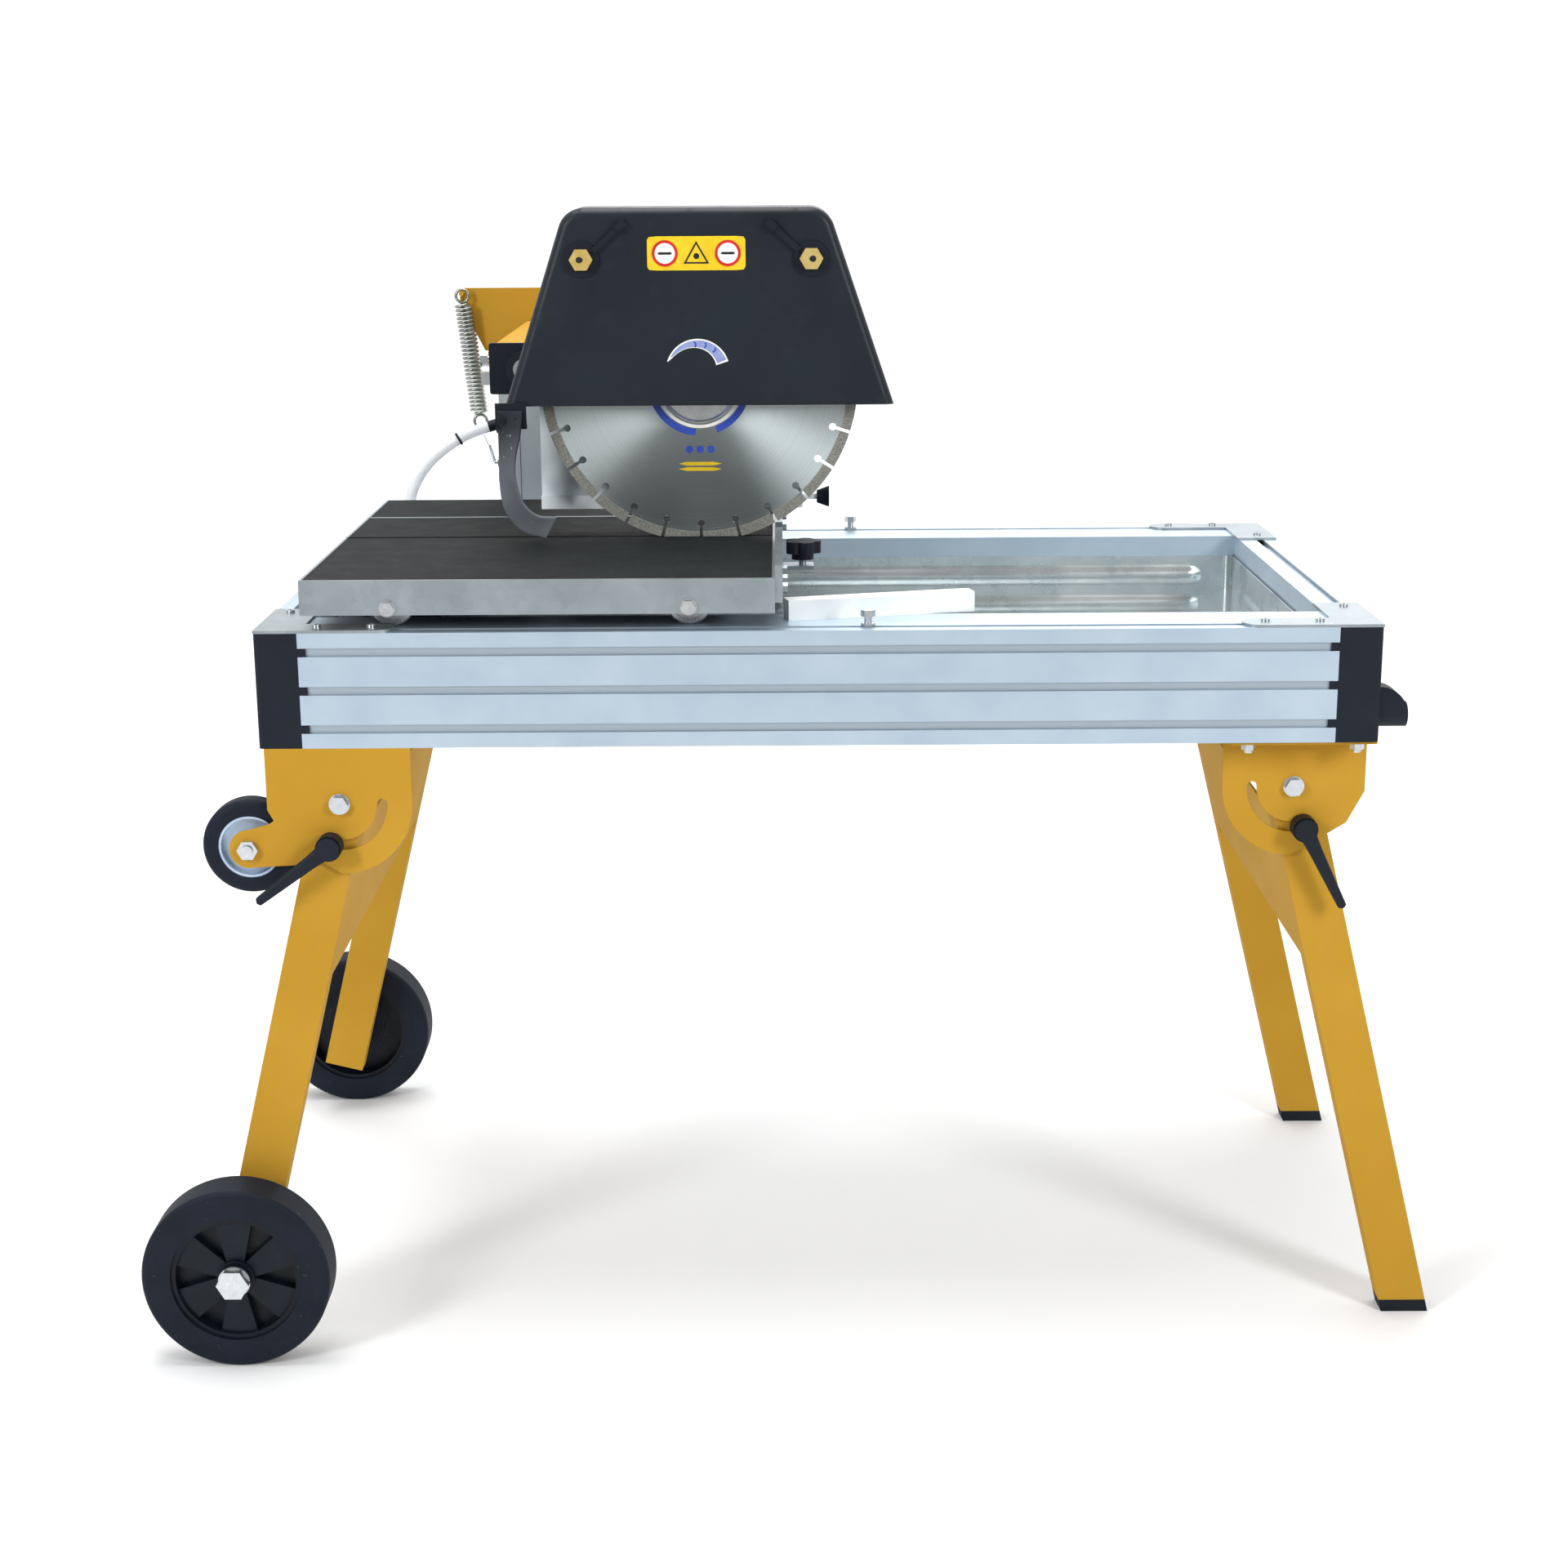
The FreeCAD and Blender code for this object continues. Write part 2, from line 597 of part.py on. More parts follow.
def lever_plate():
    """The triangle on the rear end of the shaft, with a hole for the spring's eye."""
    y0 = back(BEAM_REAR) + 3
    outline = [(LEVER_LEFT, LEVER_HIGH), (PIVOT_X + 90, LEVER_HIGH), (PIVOT_X + 90, PIVOT_Z - 2),
               (PIVOT_X + 24, PIVOT_Z - 26), (PIVOT_X - 60, PIVOT_Z - 22),
               (PIVOT_X - 86, PIVOT_Z - 18), (LEVER_LEFT, LEVER_HIGH - 20)]
    plate = plate_xz(outline, y0, y0 + LEVER_THICK)
    eye, lift = spring_eye(1), EYE_R - SPRING_WIRE - HOOK_R - HOOK_GAP
    stud = rod(eye.x, spring_y() - SPRING_R / 2, eye.z + lift, AY, HOOK_R, y0 + 1 - spring_y() + SPRING_R / 2)
    bore = rod(PIVOT_X, y0 - 1, PIVOT_Z, AY, PIVOT_R, LEVER_THICK + 2)
    return plate.fuse(stud).cut(bore)


def spring_y():
    """The spring hangs just in front of the lever plate."""
    return back(BEAM_REAR) + 3 - SPRING_R - 1


def spring_eye(up):
    """The middle of the upper eye, up = 1, or of the lower one, up = -1."""
    run = V(SPRING_TOP_X - SPRING_LOW_X, 0, SPRING_TOP - SPRING_LOW).normalize()
    end = V(SPRING_TOP_X, spring_y(), SPRING_TOP) if up > 0 else V(SPRING_LOW_X, spring_y(), SPRING_LOW)
    return end + run * (up * EYE_RISE)


def wire(points, radius):
    """A bent rod: straight pieces with a ball at each bend."""
    pieces = []
    for a, b in zip(points, points[1:]):
        pieces.append(Part.makeCylinder(radius, (b - a).Length, a, b - a))
    pieces += [Part.makeSphere(radius, point) for point in points[1:-1]]
    return fused(pieces)


def spring():
    """A close coil with an eye at each end, leaning from the anchor to the lever."""
    middle = SPRING_R - SPRING_WIRE
    low = V(SPRING_LOW_X, spring_y(), SPRING_LOW)
    run = V(SPRING_TOP_X, spring_y(), SPRING_TOP) - low
    helix = Part.makeHelix(run.Length / SPRING_TURNS, run.Length, middle)
    disc = Part.Wire(Part.makeCircle(SPRING_WIRE, V(middle, 0, 0), AY))
    coil = Part.Wire(helix).makePipeShell([disc], True, True)
    coil.Placement = FreeCAD.Placement(low, FreeCAD.Rotation(AZ, run))
    eyes = []
    for end, up in ((low + run, 1), (low, -1)):
        eye = Part.makeTorus(EYE_R, SPRING_WIRE, spring_eye(up), AY)
        arm = Part.makeCylinder(SPRING_WIRE, middle + 0.5, end, AX)
        eyes.append(eye.fuse(arm))
    return group([coil] + eyes)


def spring_anchor():
    """The bent rod from a bolt on the column's left cheek to the spring's lower eye."""
    y = FRAME_WIDTH / 2 - 12
    eye = spring_eye(-1)
    drop = EYE_R - SPRING_WIRE - ANCHOR_R - HOOK_GAP
    end = V(eye.x, eye.y + 6, eye.z - drop)
    bend = V(eye.x, eye.y - 8, eye.z - drop)
    points = [V(COLUMN_X - 3, y, ANCHOR_Z), V(COLUMN_X - 12, y, ANCHOR_Z),
              V(COLUMN_X - 19, y + 10, ANCHOR_Z + 20), bend, end]
    nut = hexagon(COLUMN_X - 8, y, ANCHOR_Z, AX, 13, 8)
    return fused([wire(points, ANCHOR_R), nut])


# ---- head
def guard_outline(inset, low):
    """The guard's trapezoid, drawn in by `inset` on its sides and top."""
    lean_l = atan2(GUARD_HIGH - GUARD_LOW, GUARD_LEFT_HIGH - GUARD_LEFT_LOW)
    lean_r = atan2(GUARD_HIGH - GUARD_LOW, GUARD_RIGHT_LOW - GUARD_RIGHT_HIGH)

    def left(z):
        return GUARD_LEFT_LOW + (z - GUARD_LOW) / tan(lean_l) + inset / sin(lean_l)

    def right(z):
        return GUARD_RIGHT_LOW - (z - GUARD_LOW) / tan(lean_r) - inset / sin(lean_r)

    top = GUARD_HIGH - inset
    return [(left(low), low), (left(top), top), (right(top), top), (right(low), low)]


def guard_block(inset, y0, y1, low):
    """The guard's solid envelope with rounded top corners and bent front edges."""
    solid = plate_xz(guard_outline(inset, low), y0, y1)
    solid = rounded(solid, GUARD_CORNER - inset, lambda e: runs_along(e, AY)
                    and e.Vertexes[0].Z > GUARD_HIGH - inset - 1)
    return rounded(solid, GUARD_BEND - inset, lambda e: abs(e.BoundBox.YMax - y0) < 0.01
                   and e.BoundBox.ZMax > low + 1)


def guard():
    outer = guard_block(0, back(GUARD_FRONT), back(GUARD_BACK), GUARD_LOW)
    inner = guard_block(GUARD_WALL, back(GUARD_FRONT) + GUARD_WALL,
                        back(GUARD_BACK) - GUARD_WALL, GUARD_LOW - 5)
    notch = rod(BLADE_X, back(GUARD_BACK) - 10, BLADE_Z, AY, 50, 20)
    notch = notch.fuse(block(BLADE_X - 50, BLADE_X + 50, back(GUARD_BACK) - 10,
                             back(GUARD_BACK) + 10, GUARD_LOW - 9, BLADE_Z))
    holes = [rod(x, back(GUARD_FRONT) - 1, FITTING_Z, AY, 4, GUARD_WALL + 2) for x in fitting_xs()]
    return outer.cut(inner).cut(group([notch] + holes))


def fitting_xs():
    return (BLADE_X - FITTING_SPAN, BLADE_X + FITTING_SPAN)


def guard_fittings():
    """Hexagonal brass hose tails, one near each top corner of the guard."""
    y = back(GUARD_FRONT)
    pieces = []
    for x in fitting_xs():
        body = fused([hexagon(x, y - 12, FITTING_Z, AY, 22, 8), rod(x, y - 4, FITTING_Z, AY, 8, 4),
                      rod(x, y, FITTING_Z, AY, 4, GUARD_WALL + 6)])
        pieces.append(body.cut(rod(x, y - 13, FITTING_Z, AY, 2.5, 9)))
    return group(pieces)


def guard_clips():
    """A black washer under each fitting, with a thin diagonal clip that points inward."""
    y = back(GUARD_FRONT)
    pieces = []
    for x, side in zip(fitting_xs(), (1, -1)):
        washer = ring(x, y - 3.2, FITTING_Z, AY, 19, 8.2, 3.2)
        strap = block(0, 46, y - 6.2, y - 3.2, -3, 3)
        strap = strap.fuse(block(34, 46, y - 9.2, y - 6.2, -4, 4))
        strap.rotate(V(0, 0, 0), AY, -42)
        strap.translate(V(x + 13, 0, FITTING_Z + 9))
        if side < 0:
            strap = strap.mirror(V(x, 0, 0), AX)
        pieces.append(washer.fuse(strap).removeSplitter())
    return pieces


def swing_arm():
    """The plate that carries motor and guard, clamped on the front end of the shaft."""
    y0 = back(GUARD_BACK)
    dx, dz = BLADE_X - PIVOT_X, BLADE_Z - PIVOT_Z
    lean = atan2(dz, dx)
    touch = acos((ARM_HUB - ARM_MOTOR) / hypot(dx, dz))

    def tangent(x, z, radius, side):
        angle = lean + side * touch
        return (x + radius * cos(angle), z + radius * sin(angle))

    web = plate_xz([tangent(PIVOT_X, PIVOT_Z, ARM_HUB, 1), tangent(BLADE_X, BLADE_Z, ARM_MOTOR, 1),
                    tangent(BLADE_X, BLADE_Z, ARM_MOTOR, -1), tangent(PIVOT_X, PIVOT_Z, ARM_HUB, -1)],
                   y0, y0 + ARM_THICK)
    hub = rod(PIVOT_X, y0, PIVOT_Z, AY, ARM_HUB, ARM_THICK)
    face = rod(BLADE_X, y0, BLADE_Z, AY, ARM_MOTOR, ARM_THICK)
    return fused([web, hub, face]).cut(group([
        rod(PIVOT_X, y0 - 1, PIVOT_Z, AY, PIVOT_R, ARM_THICK + 2),
        rod(BLADE_X, y0 - 1, BLADE_Z, AY, SPINDLE_R + 8, ARM_THICK + 2)]))


def motor_body():
    y0 = back(ARM_BACK)
    body = rod(BLADE_X, y0, BLADE_Z, AY, MOTOR_R - 6, MOTOR_LONG)
    flange = rod(BLADE_X, y0, BLADE_Z, AY, MOTOR_R, 14)
    bell = rod(BLADE_X, y0 + MOTOR_LONG - 16, BLADE_Z, AY, MOTOR_R - 2, 16)
    fins = []
    for k in range(36):
        fin = block(-1.2, 1.2, y0 + 14, y0 + MOTOR_LONG - 16, MOTOR_R - 8, MOTOR_R)
        fin.rotate(V(0, 0, 0), AY, 10 * k)
        fin.translate(V(BLADE_X, 0, BLADE_Z))
        fins.append(fin)
    body = fused([body, flange, bell] + fins)
    return body.cut(rod(BLADE_X, y0 - 1, BLADE_Z, AY, SPINDLE_R + RUN_GAP, 61))


def fan_cover():
    y0 = back(ARM_BACK) + MOTOR_LONG
    shell = rod(BLADE_X, y0, BLADE_Z, AY, MOTOR_R + 1, COVER_LONG)
    shell = rounded(shell, 9, lambda e: e.BoundBox.YMin > y0 + COVER_LONG - 1)
    shell = shell.cut(rod(BLADE_X, y0 - 1, BLADE_Z, AY, MOTOR_R - 2, COVER_LONG - 1))
    slots = []
    for x in range(-48, 49, 12):
        half = sqrt(56 ** 2 - x ** 2)
        slots.append(block(BLADE_X + x - 3, BLADE_X + x + 3, y0 + COVER_LONG - 5, y0 + COVER_LONG + 1,
                           BLADE_Z - half, BLADE_Z + half))
    return shell.cut(group(slots))


BOX_LEFT = BLADE_X + MOTOR_R - 12
BOX_RIGHT = BLADE_X + MOTOR_R + 62
BOX_FRONT = 372.0
BOX_BACK = 452.0
BOX_LOW = BLADE_Z - 22
BOX_HIGH = BLADE_Z + 78


def switch_box():
    """The box on the motor's right side; its switches face the right end."""
    box = block(BOX_LEFT, BOX_RIGHT, back(BOX_FRONT), back(BOX_BACK), BOX_LOW, BOX_HIGH)
    box = rounded(box, 5, lambda e: runs_along(e, AX))
    box = box.cut(rod(BLADE_X, back(BOX_FRONT) - 1, BLADE_Z, AY, MOTOR_R + 0.4, BOX_BACK - BOX_FRONT + 2))
    wells = [rod(BOX_RIGHT - 12, button_y(), z, AX, 11.5, 14) for z in button_zs()]
    frames = [ring(BOX_RIGHT, button_y(), z, AX, 15, 11.5, 2) for z in button_zs()]
    hole = rod(BLADE_X + MOTOR_R + 25, button_y(), BOX_LOW - 1, AZ, 8, 12)
    return fused([box] + frames).cut(group(wells + [hole]))


def button_y():
    return back((BOX_FRONT + BOX_BACK) / 2)


def button_zs():
    middle = (BOX_LOW + BOX_HIGH) / 2
    return (middle + 18, middle - 18)


def button(z):
    return rod(BOX_RIGHT - 7, button_y(), z, AX, 11, 12)


def cord_inlet():
    """The gland for the mains cord, under the switch box."""
    x, y = BLADE_X + MOTOR_R + 25, button_y()
    nut = hexagon(x, y, BOX_LOW - 8, AZ, 24, 8)
    dome = Part.makeCone(9, 6.5, 12, V(x, y, BOX_LOW - 8), V(0, 0, -1))
    stem = rod(x, y, BOX_LOW, AZ, 7.9, 10)
    bore = rod(x, y, BOX_LOW - 21, AZ, 4, 32)
    return fused([nut, dome, stem]).cut(bore)


def splash_plate():
    """The sheet behind the blade, with a gutter lip bent forward at its foot."""
    y1 = back(GUARD_BACK) - GUARD_WALL
    y0 = y1 - SPLASH_WALL
    sheet = block(SPLASH_LEFT, SPLASH_RIGHT, y0, y1, SPLASH_LOW, SPLASH_HIGH)
    floor = block(SPLASH_LEFT, SPLASH_RIGHT, y0 - LIP_DEEP, y1, SPLASH_LOW, SPLASH_LOW + SPLASH_WALL)
    lip = block(SPLASH_LEFT, SPLASH_RIGHT, y0 - LIP_DEEP, y0 - LIP_DEEP + SPLASH_WALL,
                SPLASH_LOW, SPLASH_LOW + LIP_HIGH)
    ear = block(SPLASH_RIGHT - SPLASH_WALL, SPLASH_RIGHT, y0 - LIP_DEEP, y1,
                SPLASH_LOW, SPLASH_LOW + LIP_HIGH + 8)
    notch = rod(BLADE_X, y0 - 1, BLADE_Z, AY, 50, SPLASH_WALL + 2)
    stud = rod(SPLASH_RIGHT, y1 - 6, SPLASH_LOW + 12, AX, 3, 26)
    return fused([sheet, floor, lip, ear, stud]).cut(notch)


def splash_knob():
    x, y, z = SPLASH_RIGHT + 16, back(GUARD_BACK) - GUARD_WALL - 6, SPLASH_LOW + 12
    cone = Part.makeCone(7, 12, 14, V(x, y, z), AX)
    return cone.cut(rod(x - 1, y, z, AX, 3 + RUN_GAP, 12))


def flap_section(x, y, z, lean, twist, wide, thick):
    """A flat rectangle across the flap, its normal along the flap's run."""
    corners = [V(-thick / 2, -wide / 2, 0), V(thick / 2, -wide / 2, 0),
               V(thick / 2, wide / 2, 0), V(-thick / 2, wide / 2, 0)]
    outline = Part.makePolygon(corners + corners[:1])
    turn = FreeCAD.Rotation(AY, lean).multiply(FreeCAD.Rotation(AZ, twist))
    outline.Placement = FreeCAD.Placement(V(x, y, z), turn)
    return outline


def splash_flap():
    """A rubber strip that hangs from the guard and curls towards the blade."""
    y = back(GUARD_FRONT) - 8
    stations = [(6, y, -4, 0, 90), (5, y, -29, 0, 62), (2, y, -57, -3, 42), (2, y, -82, -8, 44),
                (8, y + 2, -109, -22, 58), (24, y + 6, -127.5, -42, 68), (48, y + 12, -134, -62, 74)]
    wires = [flap_section(GUARD_LEFT_LOW + dx, at_y, GUARD_LOW + dz, lean, twist, 28, 3.5)
             for dx, at_y, dz, lean, twist in stations]
    return Part.makeLoft(wires, True, True)


def flap_clamp():
    """The angle and two screws that hold the flap under the guard's left corner."""
    x, y = GUARD_LEFT_LOW + 6, back(GUARD_FRONT)
    bar = block(x - 16, x + 18, y - 6, y - 3.5, GUARD_LOW - 24, GUARD_LOW + 4)
    hook = block(x - 16, x + 18, y - 3.5, y + 2, GUARD_LOW - 24, GUARD_LOW - 20)
    screws = [hexagon(x + dx, y - 11, GUARD_LOW - 14, AY, 7, 5) for dx in (-8, 9)]
    return fused([bar, hook] + screws)


# ---- blade
def blade_disc():
    y = back(BLADE_BACK)
    core_r = BLADE_R - SEGMENT_DEEP
    core = rod(BLADE_X, y - BLADE_CORE / 2, BLADE_Z, AY, core_r, BLADE_CORE)
    cuts = [rod(BLADE_X, y - 5, BLADE_Z, AY, SPINDLE_R, 10)]
    root = BLADE_R - GULLET_DEEP
    for k in range(SEGMENTS):
        cut = block(-GULLET / 2, GULLET / 2, y - 5, y + 5, -BLADE_R - 5, -root)
        cut = cut.fuse(rod(0, y - 5, -root, AY, GULLET_HOLE_R, 10))
        cut.rotate(V(0, 0, 0), AY, 360.0 / SEGMENTS * k)
        cut.translate(V(BLADE_X, 0, BLADE_Z))
        cuts.append(cut)
    rim = ring(BLADE_X, y - SEGMENT_THICK / 2, BLADE_Z, AY, BLADE_R, core_r - 2, SEGMENT_THICK)
    return core.fuse(rim).cut(group(cuts))


def blade_flanges():
    """Spindle, both clamping flanges and the nut, turning as one with the blade."""
    y = back(BLADE_BACK)
    half = BLADE_CORE / 2
    inner = rod(BLADE_X, y + half, BLADE_Z, AY, FLANGE_R, 8)
    outer = Part.makeCone(FLANGE_R, FLANGE_R - 5, 7, V(BLADE_X, y - half, BLADE_Z), V(0, -1, 0))
    nut = hexagon(BLADE_X, y - half - 19, BLADE_Z, AY, 30, 12)
    shaft = rod(BLADE_X, y - half - 22, BLADE_Z, AY, SPINDLE_R, back(ARM_BACK) + 60 - y + half + 22)
    return fused([inner, outer, nut, shaft])


# ---- cart
def cart_frame():
    x0, x1 = CART_LEFT, CART_RIGHT
    y0, y1 = back(CART_FRONT), back(CART_REAR)
    board_low = CART_TOP - BOARD_THICK
    front = block(x0, x1, y0 - CART_PLATE, y0, CART_SKIRT_LOW, CART_TOP)
    rear = block(x0, x1, y1 - CART_PLATE, y1, CART_SKIRT_LOW, CART_TOP)
    left = block(x0, x0 + CART_PLATE, y0, y1 - CART_PLATE, CART_END_LOW, CART_TOP)
    right = block(x1 - CART_PLATE, x1, y0, y1 - CART_PLATE, CART_END_LOW, CART_TOP)
    bearers = []
    for x in (x0 + 40, x0 + CART_LENGTH / 2, x1 - 40):
        bearers.append(block(x - 15, x + 15, y0, y1 - CART_PLATE, board_low - 3, board_low))
    ledges = [block(x0, x1, y0, y0 + 18, board_low - 3, board_low),
              block(x0, x1, y1 - 18, y1 - CART_PLATE, board_low - 3, board_low)]
    notch = block(x0 - 1, x0 + CART_PLATE + 1, blade_slot()[0], blade_slot()[1],
                  board_low, CART_TOP + 1)
    holes = [rod(x, y0 - CART_PLATE - 1, AXLE_Z, AY, ROLLER_AXLE_R, y1 - y0 + CART_PLATE + 2)
             for x, near, far in roller_spots()[:2]]
    return fused([front, rear, left, right] + bearers + ledges).cut(group([notch] + holes))


def blade_slot():
    middle = back(BLADE_BACK)
    return (middle - BLADE_SLOT / 2, middle + BLADE_SLOT / 2)


def cart_boards():
    """Rubber-faced boards: in front of the blade slot, behind it, and the rear one."""
    x0, x1 = CART_LEFT + CART_PLATE, CART_RIGHT - CART_PLATE
    low = CART_TOP - BOARD_THICK
    split = back(BOARD_SPLIT)
    slot = blade_slot()
    front = block(x0, x1, back(CART_FRONT), slot[0], low, CART_TOP)
    reach = ROLLER_R + ROLLER_CLEAR
    front = front.cut(group([block(x - reach, x + reach, near - ROLLER_CLEAR, far + ROLLER_CLEAR,
                                   low - 1, AXLE_Z + reach)
                             for x, near, far in roller_spots()[:2]]))
    middle = block(x0, x1, slot[1], split, low, CART_TOP)
    rear = block(x0, x1, split + STRIP_THICK, back(CART_REAR) - CART_PLATE, low, CART_TOP)
    return group([front, middle, rear])


def cart_strip():
    split = back(BOARD_SPLIT)
    return block(CART_LEFT + CART_PLATE, CART_RIGHT - CART_PLATE, split, split + STRIP_THICK,
                 CART_TOP - BOARD_THICK, CART_TOP + 1)


def cart_fence():
    """The end stop, in two lengths that leave the blade's plane open, and its lug."""
    x0, x1 = CART_RIGHT, CART_RIGHT + FENCE_THICK
    middle = back(BLADE_BACK)
    front = block(x0, x1, back(CART_FRONT), middle - FENCE_GAP / 2, CART_END_LOW + 4, CART_TOP + FENCE_UP)
    rear = block(x0, x1, middle + FENCE_GAP / 2, back(CART_REAR) - CART_PLATE,
                 CART_END_LOW + 4, CART_TOP + FENCE_UP)
    y = back(KNOB_BACK)
    lug = block(x1, x1 + 34, y - 14, y + 14, CART_END_LOW + 6, CART_END_LOW + 10)
    stud = rod(x1 + 22, y, CART_END_LOW + 10, AZ, 4, 24)
    bolts = [hexagon(x1, back(b), CART_END_LOW + 14, AX, 10, 5) for b in (40, 90, 150, 470, 560)]
    return group([fused([front, lug, stud] + bolts[:3]), fused([rear] + bolts[3:])])


def star_knob(x, y, z, height, radius):
    """A five-lobed grip on a round boss, its stem upwards along Z."""
    pieces = [rod(x, y, z, AZ, radius * 0.6, height)]
    for k in range(5):
        angle = radians(72 * k)
        pieces.append(rod(x + radius * 0.55 * cos(angle), y + radius * 0.55 * sin(angle),
                          z + height * 0.35, AZ, radius * 0.45, height * 0.65))
    return fused(pieces)


def cart_knob():
    x, y, z = CART_RIGHT + FENCE_THICK + 22, back(KNOB_BACK), CART_END_LOW + 16
    return star_knob(x, y, z, 20, 20).cut(rod(x, y, z - 1, AZ, 4 + RUN_GAP, 19.5))


def roller_spots():
    """X and the near and far Y of each roller: front pair, then rear pair."""
    spots = []
    for start in (ROLLER_FRONT, ROLLER_REAR):
        for inset in ROLLER_INSETS:
            spots.append((CART_LEFT + inset, back(start), back(start) + ROLLER_WIDE))
    return spots


def roller(spot):
    x, y0, y1 = spot
    body = rod(x, y0, AXLE_Z, AY, ROLLER_R, y1 - y0)
    body = rounded(body, 1.5, lambda e: e.Length > 6 * ROLLER_R - 1 and not runs_along(e, AY))
    groove = ring(x, y0 - 1, AXLE_Z, AY, ROLLER_R - 5, ROLLER_AXLE_R + 6, 3)
    other = ring(x, y1 - 2, AXLE_Z, AY, ROLLER_R - 5, ROLLER_AXLE_R + 6, 3)
    return body.cut(group([groove, other, rod(x, y0 - 1, AXLE_Z, AY, ROLLER_AXLE_R + RUN_GAP,
                                              ROLLER_WIDE + 2)]))


def roller_axles():
    """Shouldered bolts through the cart's front and rear plates."""
    pieces = []
    for x, y0, y1 in roller_spots():
        if y0 < 0:
            near = back(CART_FRONT) - CART_PLATE
            head = hexagon(x, near - 5, AXLE_Z, AY, 13, 5)
            washer = rod(x, near - 1.2, AXLE_Z, AY, 8.5, 1.2)
            pieces.append(fused([head, washer, rod(x, near, AXLE_Z, AY, ROLLER_AXLE_R, y1 - near)]))
        else:
            near = back(CART_REAR) - CART_PLATE
            head = hexagon(x, near - 5, AXLE_Z, AY, 13, 5)
            pieces.append(fused([head, rod(x, near, AXLE_Z, AY, ROLLER_AXLE_R, y1 - near)]))
    return group(pieces)


# ---- legs, drawn for the front side; side is -1 at the left end and +1 at the right
def leg_pivot(side):
    return LEG_PIVOT_LEFT if side < 0 else LEG_PIVOT_RIGHT


def plate_back(side):
    return LEFT_PLATE_BACK if side < 0 else RIGHT_PLATE_BACK


def leg_y(side):
    return back(plate_back(side) + BRACKET_THICK + LEG_CLEAR)


def along_leg(side, down, across=0.0):
    """X and Z of a point this far down the leg and this far across it, outwards."""
    lean = radians(LEG_LEAN)
    x = leg_pivot(side) + side * (down * sin(lean) + across * cos(lean))
    return x, LEG_PIVOT_Z - down * cos(lean) + across * sin(lean)


def bracket_outline(side):
    """The bracket's lower edge is an arc about the pivot, cut off on its outer side."""
    px = leg_pivot(side)
    points = [(px + side * BRACKET_HALF, BOTTOM), (px - side * BRACKET_HALF, BOTTOM)]
    for step in range(0, 11):
        angle = radians(180 + 9 * step)
        points.append((px - side * -BRACKET_HALF * cos(angle), LEG_PIVOT_Z + BRACKET_HALF * sin(angle)))
    points.append((px + side * (BRACKET_HALF - 18), LEG_PIVOT_Z - 40))
    points.append((px + side * BRACKET_HALF, LEG_PIVOT_Z - 6))
    return points


def clamp_slot_cut(side):
    """The arc that the clamp stud travels in while the legs fold."""
    px, y = leg_pivot(side), back(plate_back(side))
    wide = CLAMP_SLOT / 2
    band = ring(px, y - 5, LEG_PIVOT_Z, AY, CLAMP_ARM + wide, CLAMP_ARM - wide, 20)
    sector = []
    for step in range(0, 14):
        angle = radians(-90 + side * LEG_LEAN - side * FOLD * step / 13)
        sector.append((px + 90 * cos(angle), LEG_PIVOT_Z + 90 * sin(angle)))
    wedge = plate_xz([(px, LEG_PIVOT_Z)] + sector, y - 5, y + 15)
    ends = []
    for fold in (0, FOLD):
        angle = radians(-90 + side * LEG_LEAN - side * fold)
        ends.append(rod(px + CLAMP_ARM * cos(angle), y - 5, LEG_PIVOT_Z + CLAMP_ARM * sin(angle),
                        AY, wide, 20))
    return fused([band.common(wedge)] + ends)


def bracket(side):
    """A bent plate under the rail: the leg turns on it and is clamped through its slot."""
    y0 = back(plate_back(side))
    y1 = y0 + BRACKET_THICK
    px = leg_pivot(side)
    top = BOTTOM - BRACKET_THICK
    sheet = plate_xz(bracket_outline(side), y0, y1)
    inward = 42.0 if side < 0 else 48.0
    if side < 0:
        flange = block(px - BRACKET_HALF, px + BRACKET_HALF, y0, y0 + inward, top, BOTTOM)
        x, z = small_axle()
        lobe = fused([rod(x, y0, z, AY, 20, BRACKET_THICK),
                      plate_xz([(x, z - 20), (px - 22, LEG_PIVOT_Z - 64), (px - 30, LEG_PIVOT_Z + 8),
                                (px - BRACKET_HALF, LEG_PIVOT_Z - 22), (x, z + 20)], y0, y1)])
        sheet = fused([sheet, lobe]).cut(rod(x, y0 - 1, z, AY, SMALL_AXLE_R, 20))
    else:
        flange = block(px - BRACKET_HALF, px + BRACKET_HALF, y1 - inward, y1, top, BOTTOM)
    hole = rod(px, y0 - 1, LEG_PIVOT_Z, AY, PIVOT_BOLT_R, 20)
    return fused([sheet, flange]).cut(group([hole, clamp_slot_cut(side)]))


def bracket_screws():
    """Hexagon screws that hold the bracket flanges up to the rails."""
    pieces = []
    for side in (-1, 1):
        y = back(28.0 if side < 0 else 14.0)
        for dx in (-56, 56):
            x, top = leg_pivot(side) + dx, BOTTOM - BRACKET_THICK
            screw = fused([hexagon(x, y, top - 6.5, AZ, 13, 6.5), rod(x, y, top - 10, AZ, 4, 4)])
            pieces += [screw, rear_copy(screw)]
    return pieces


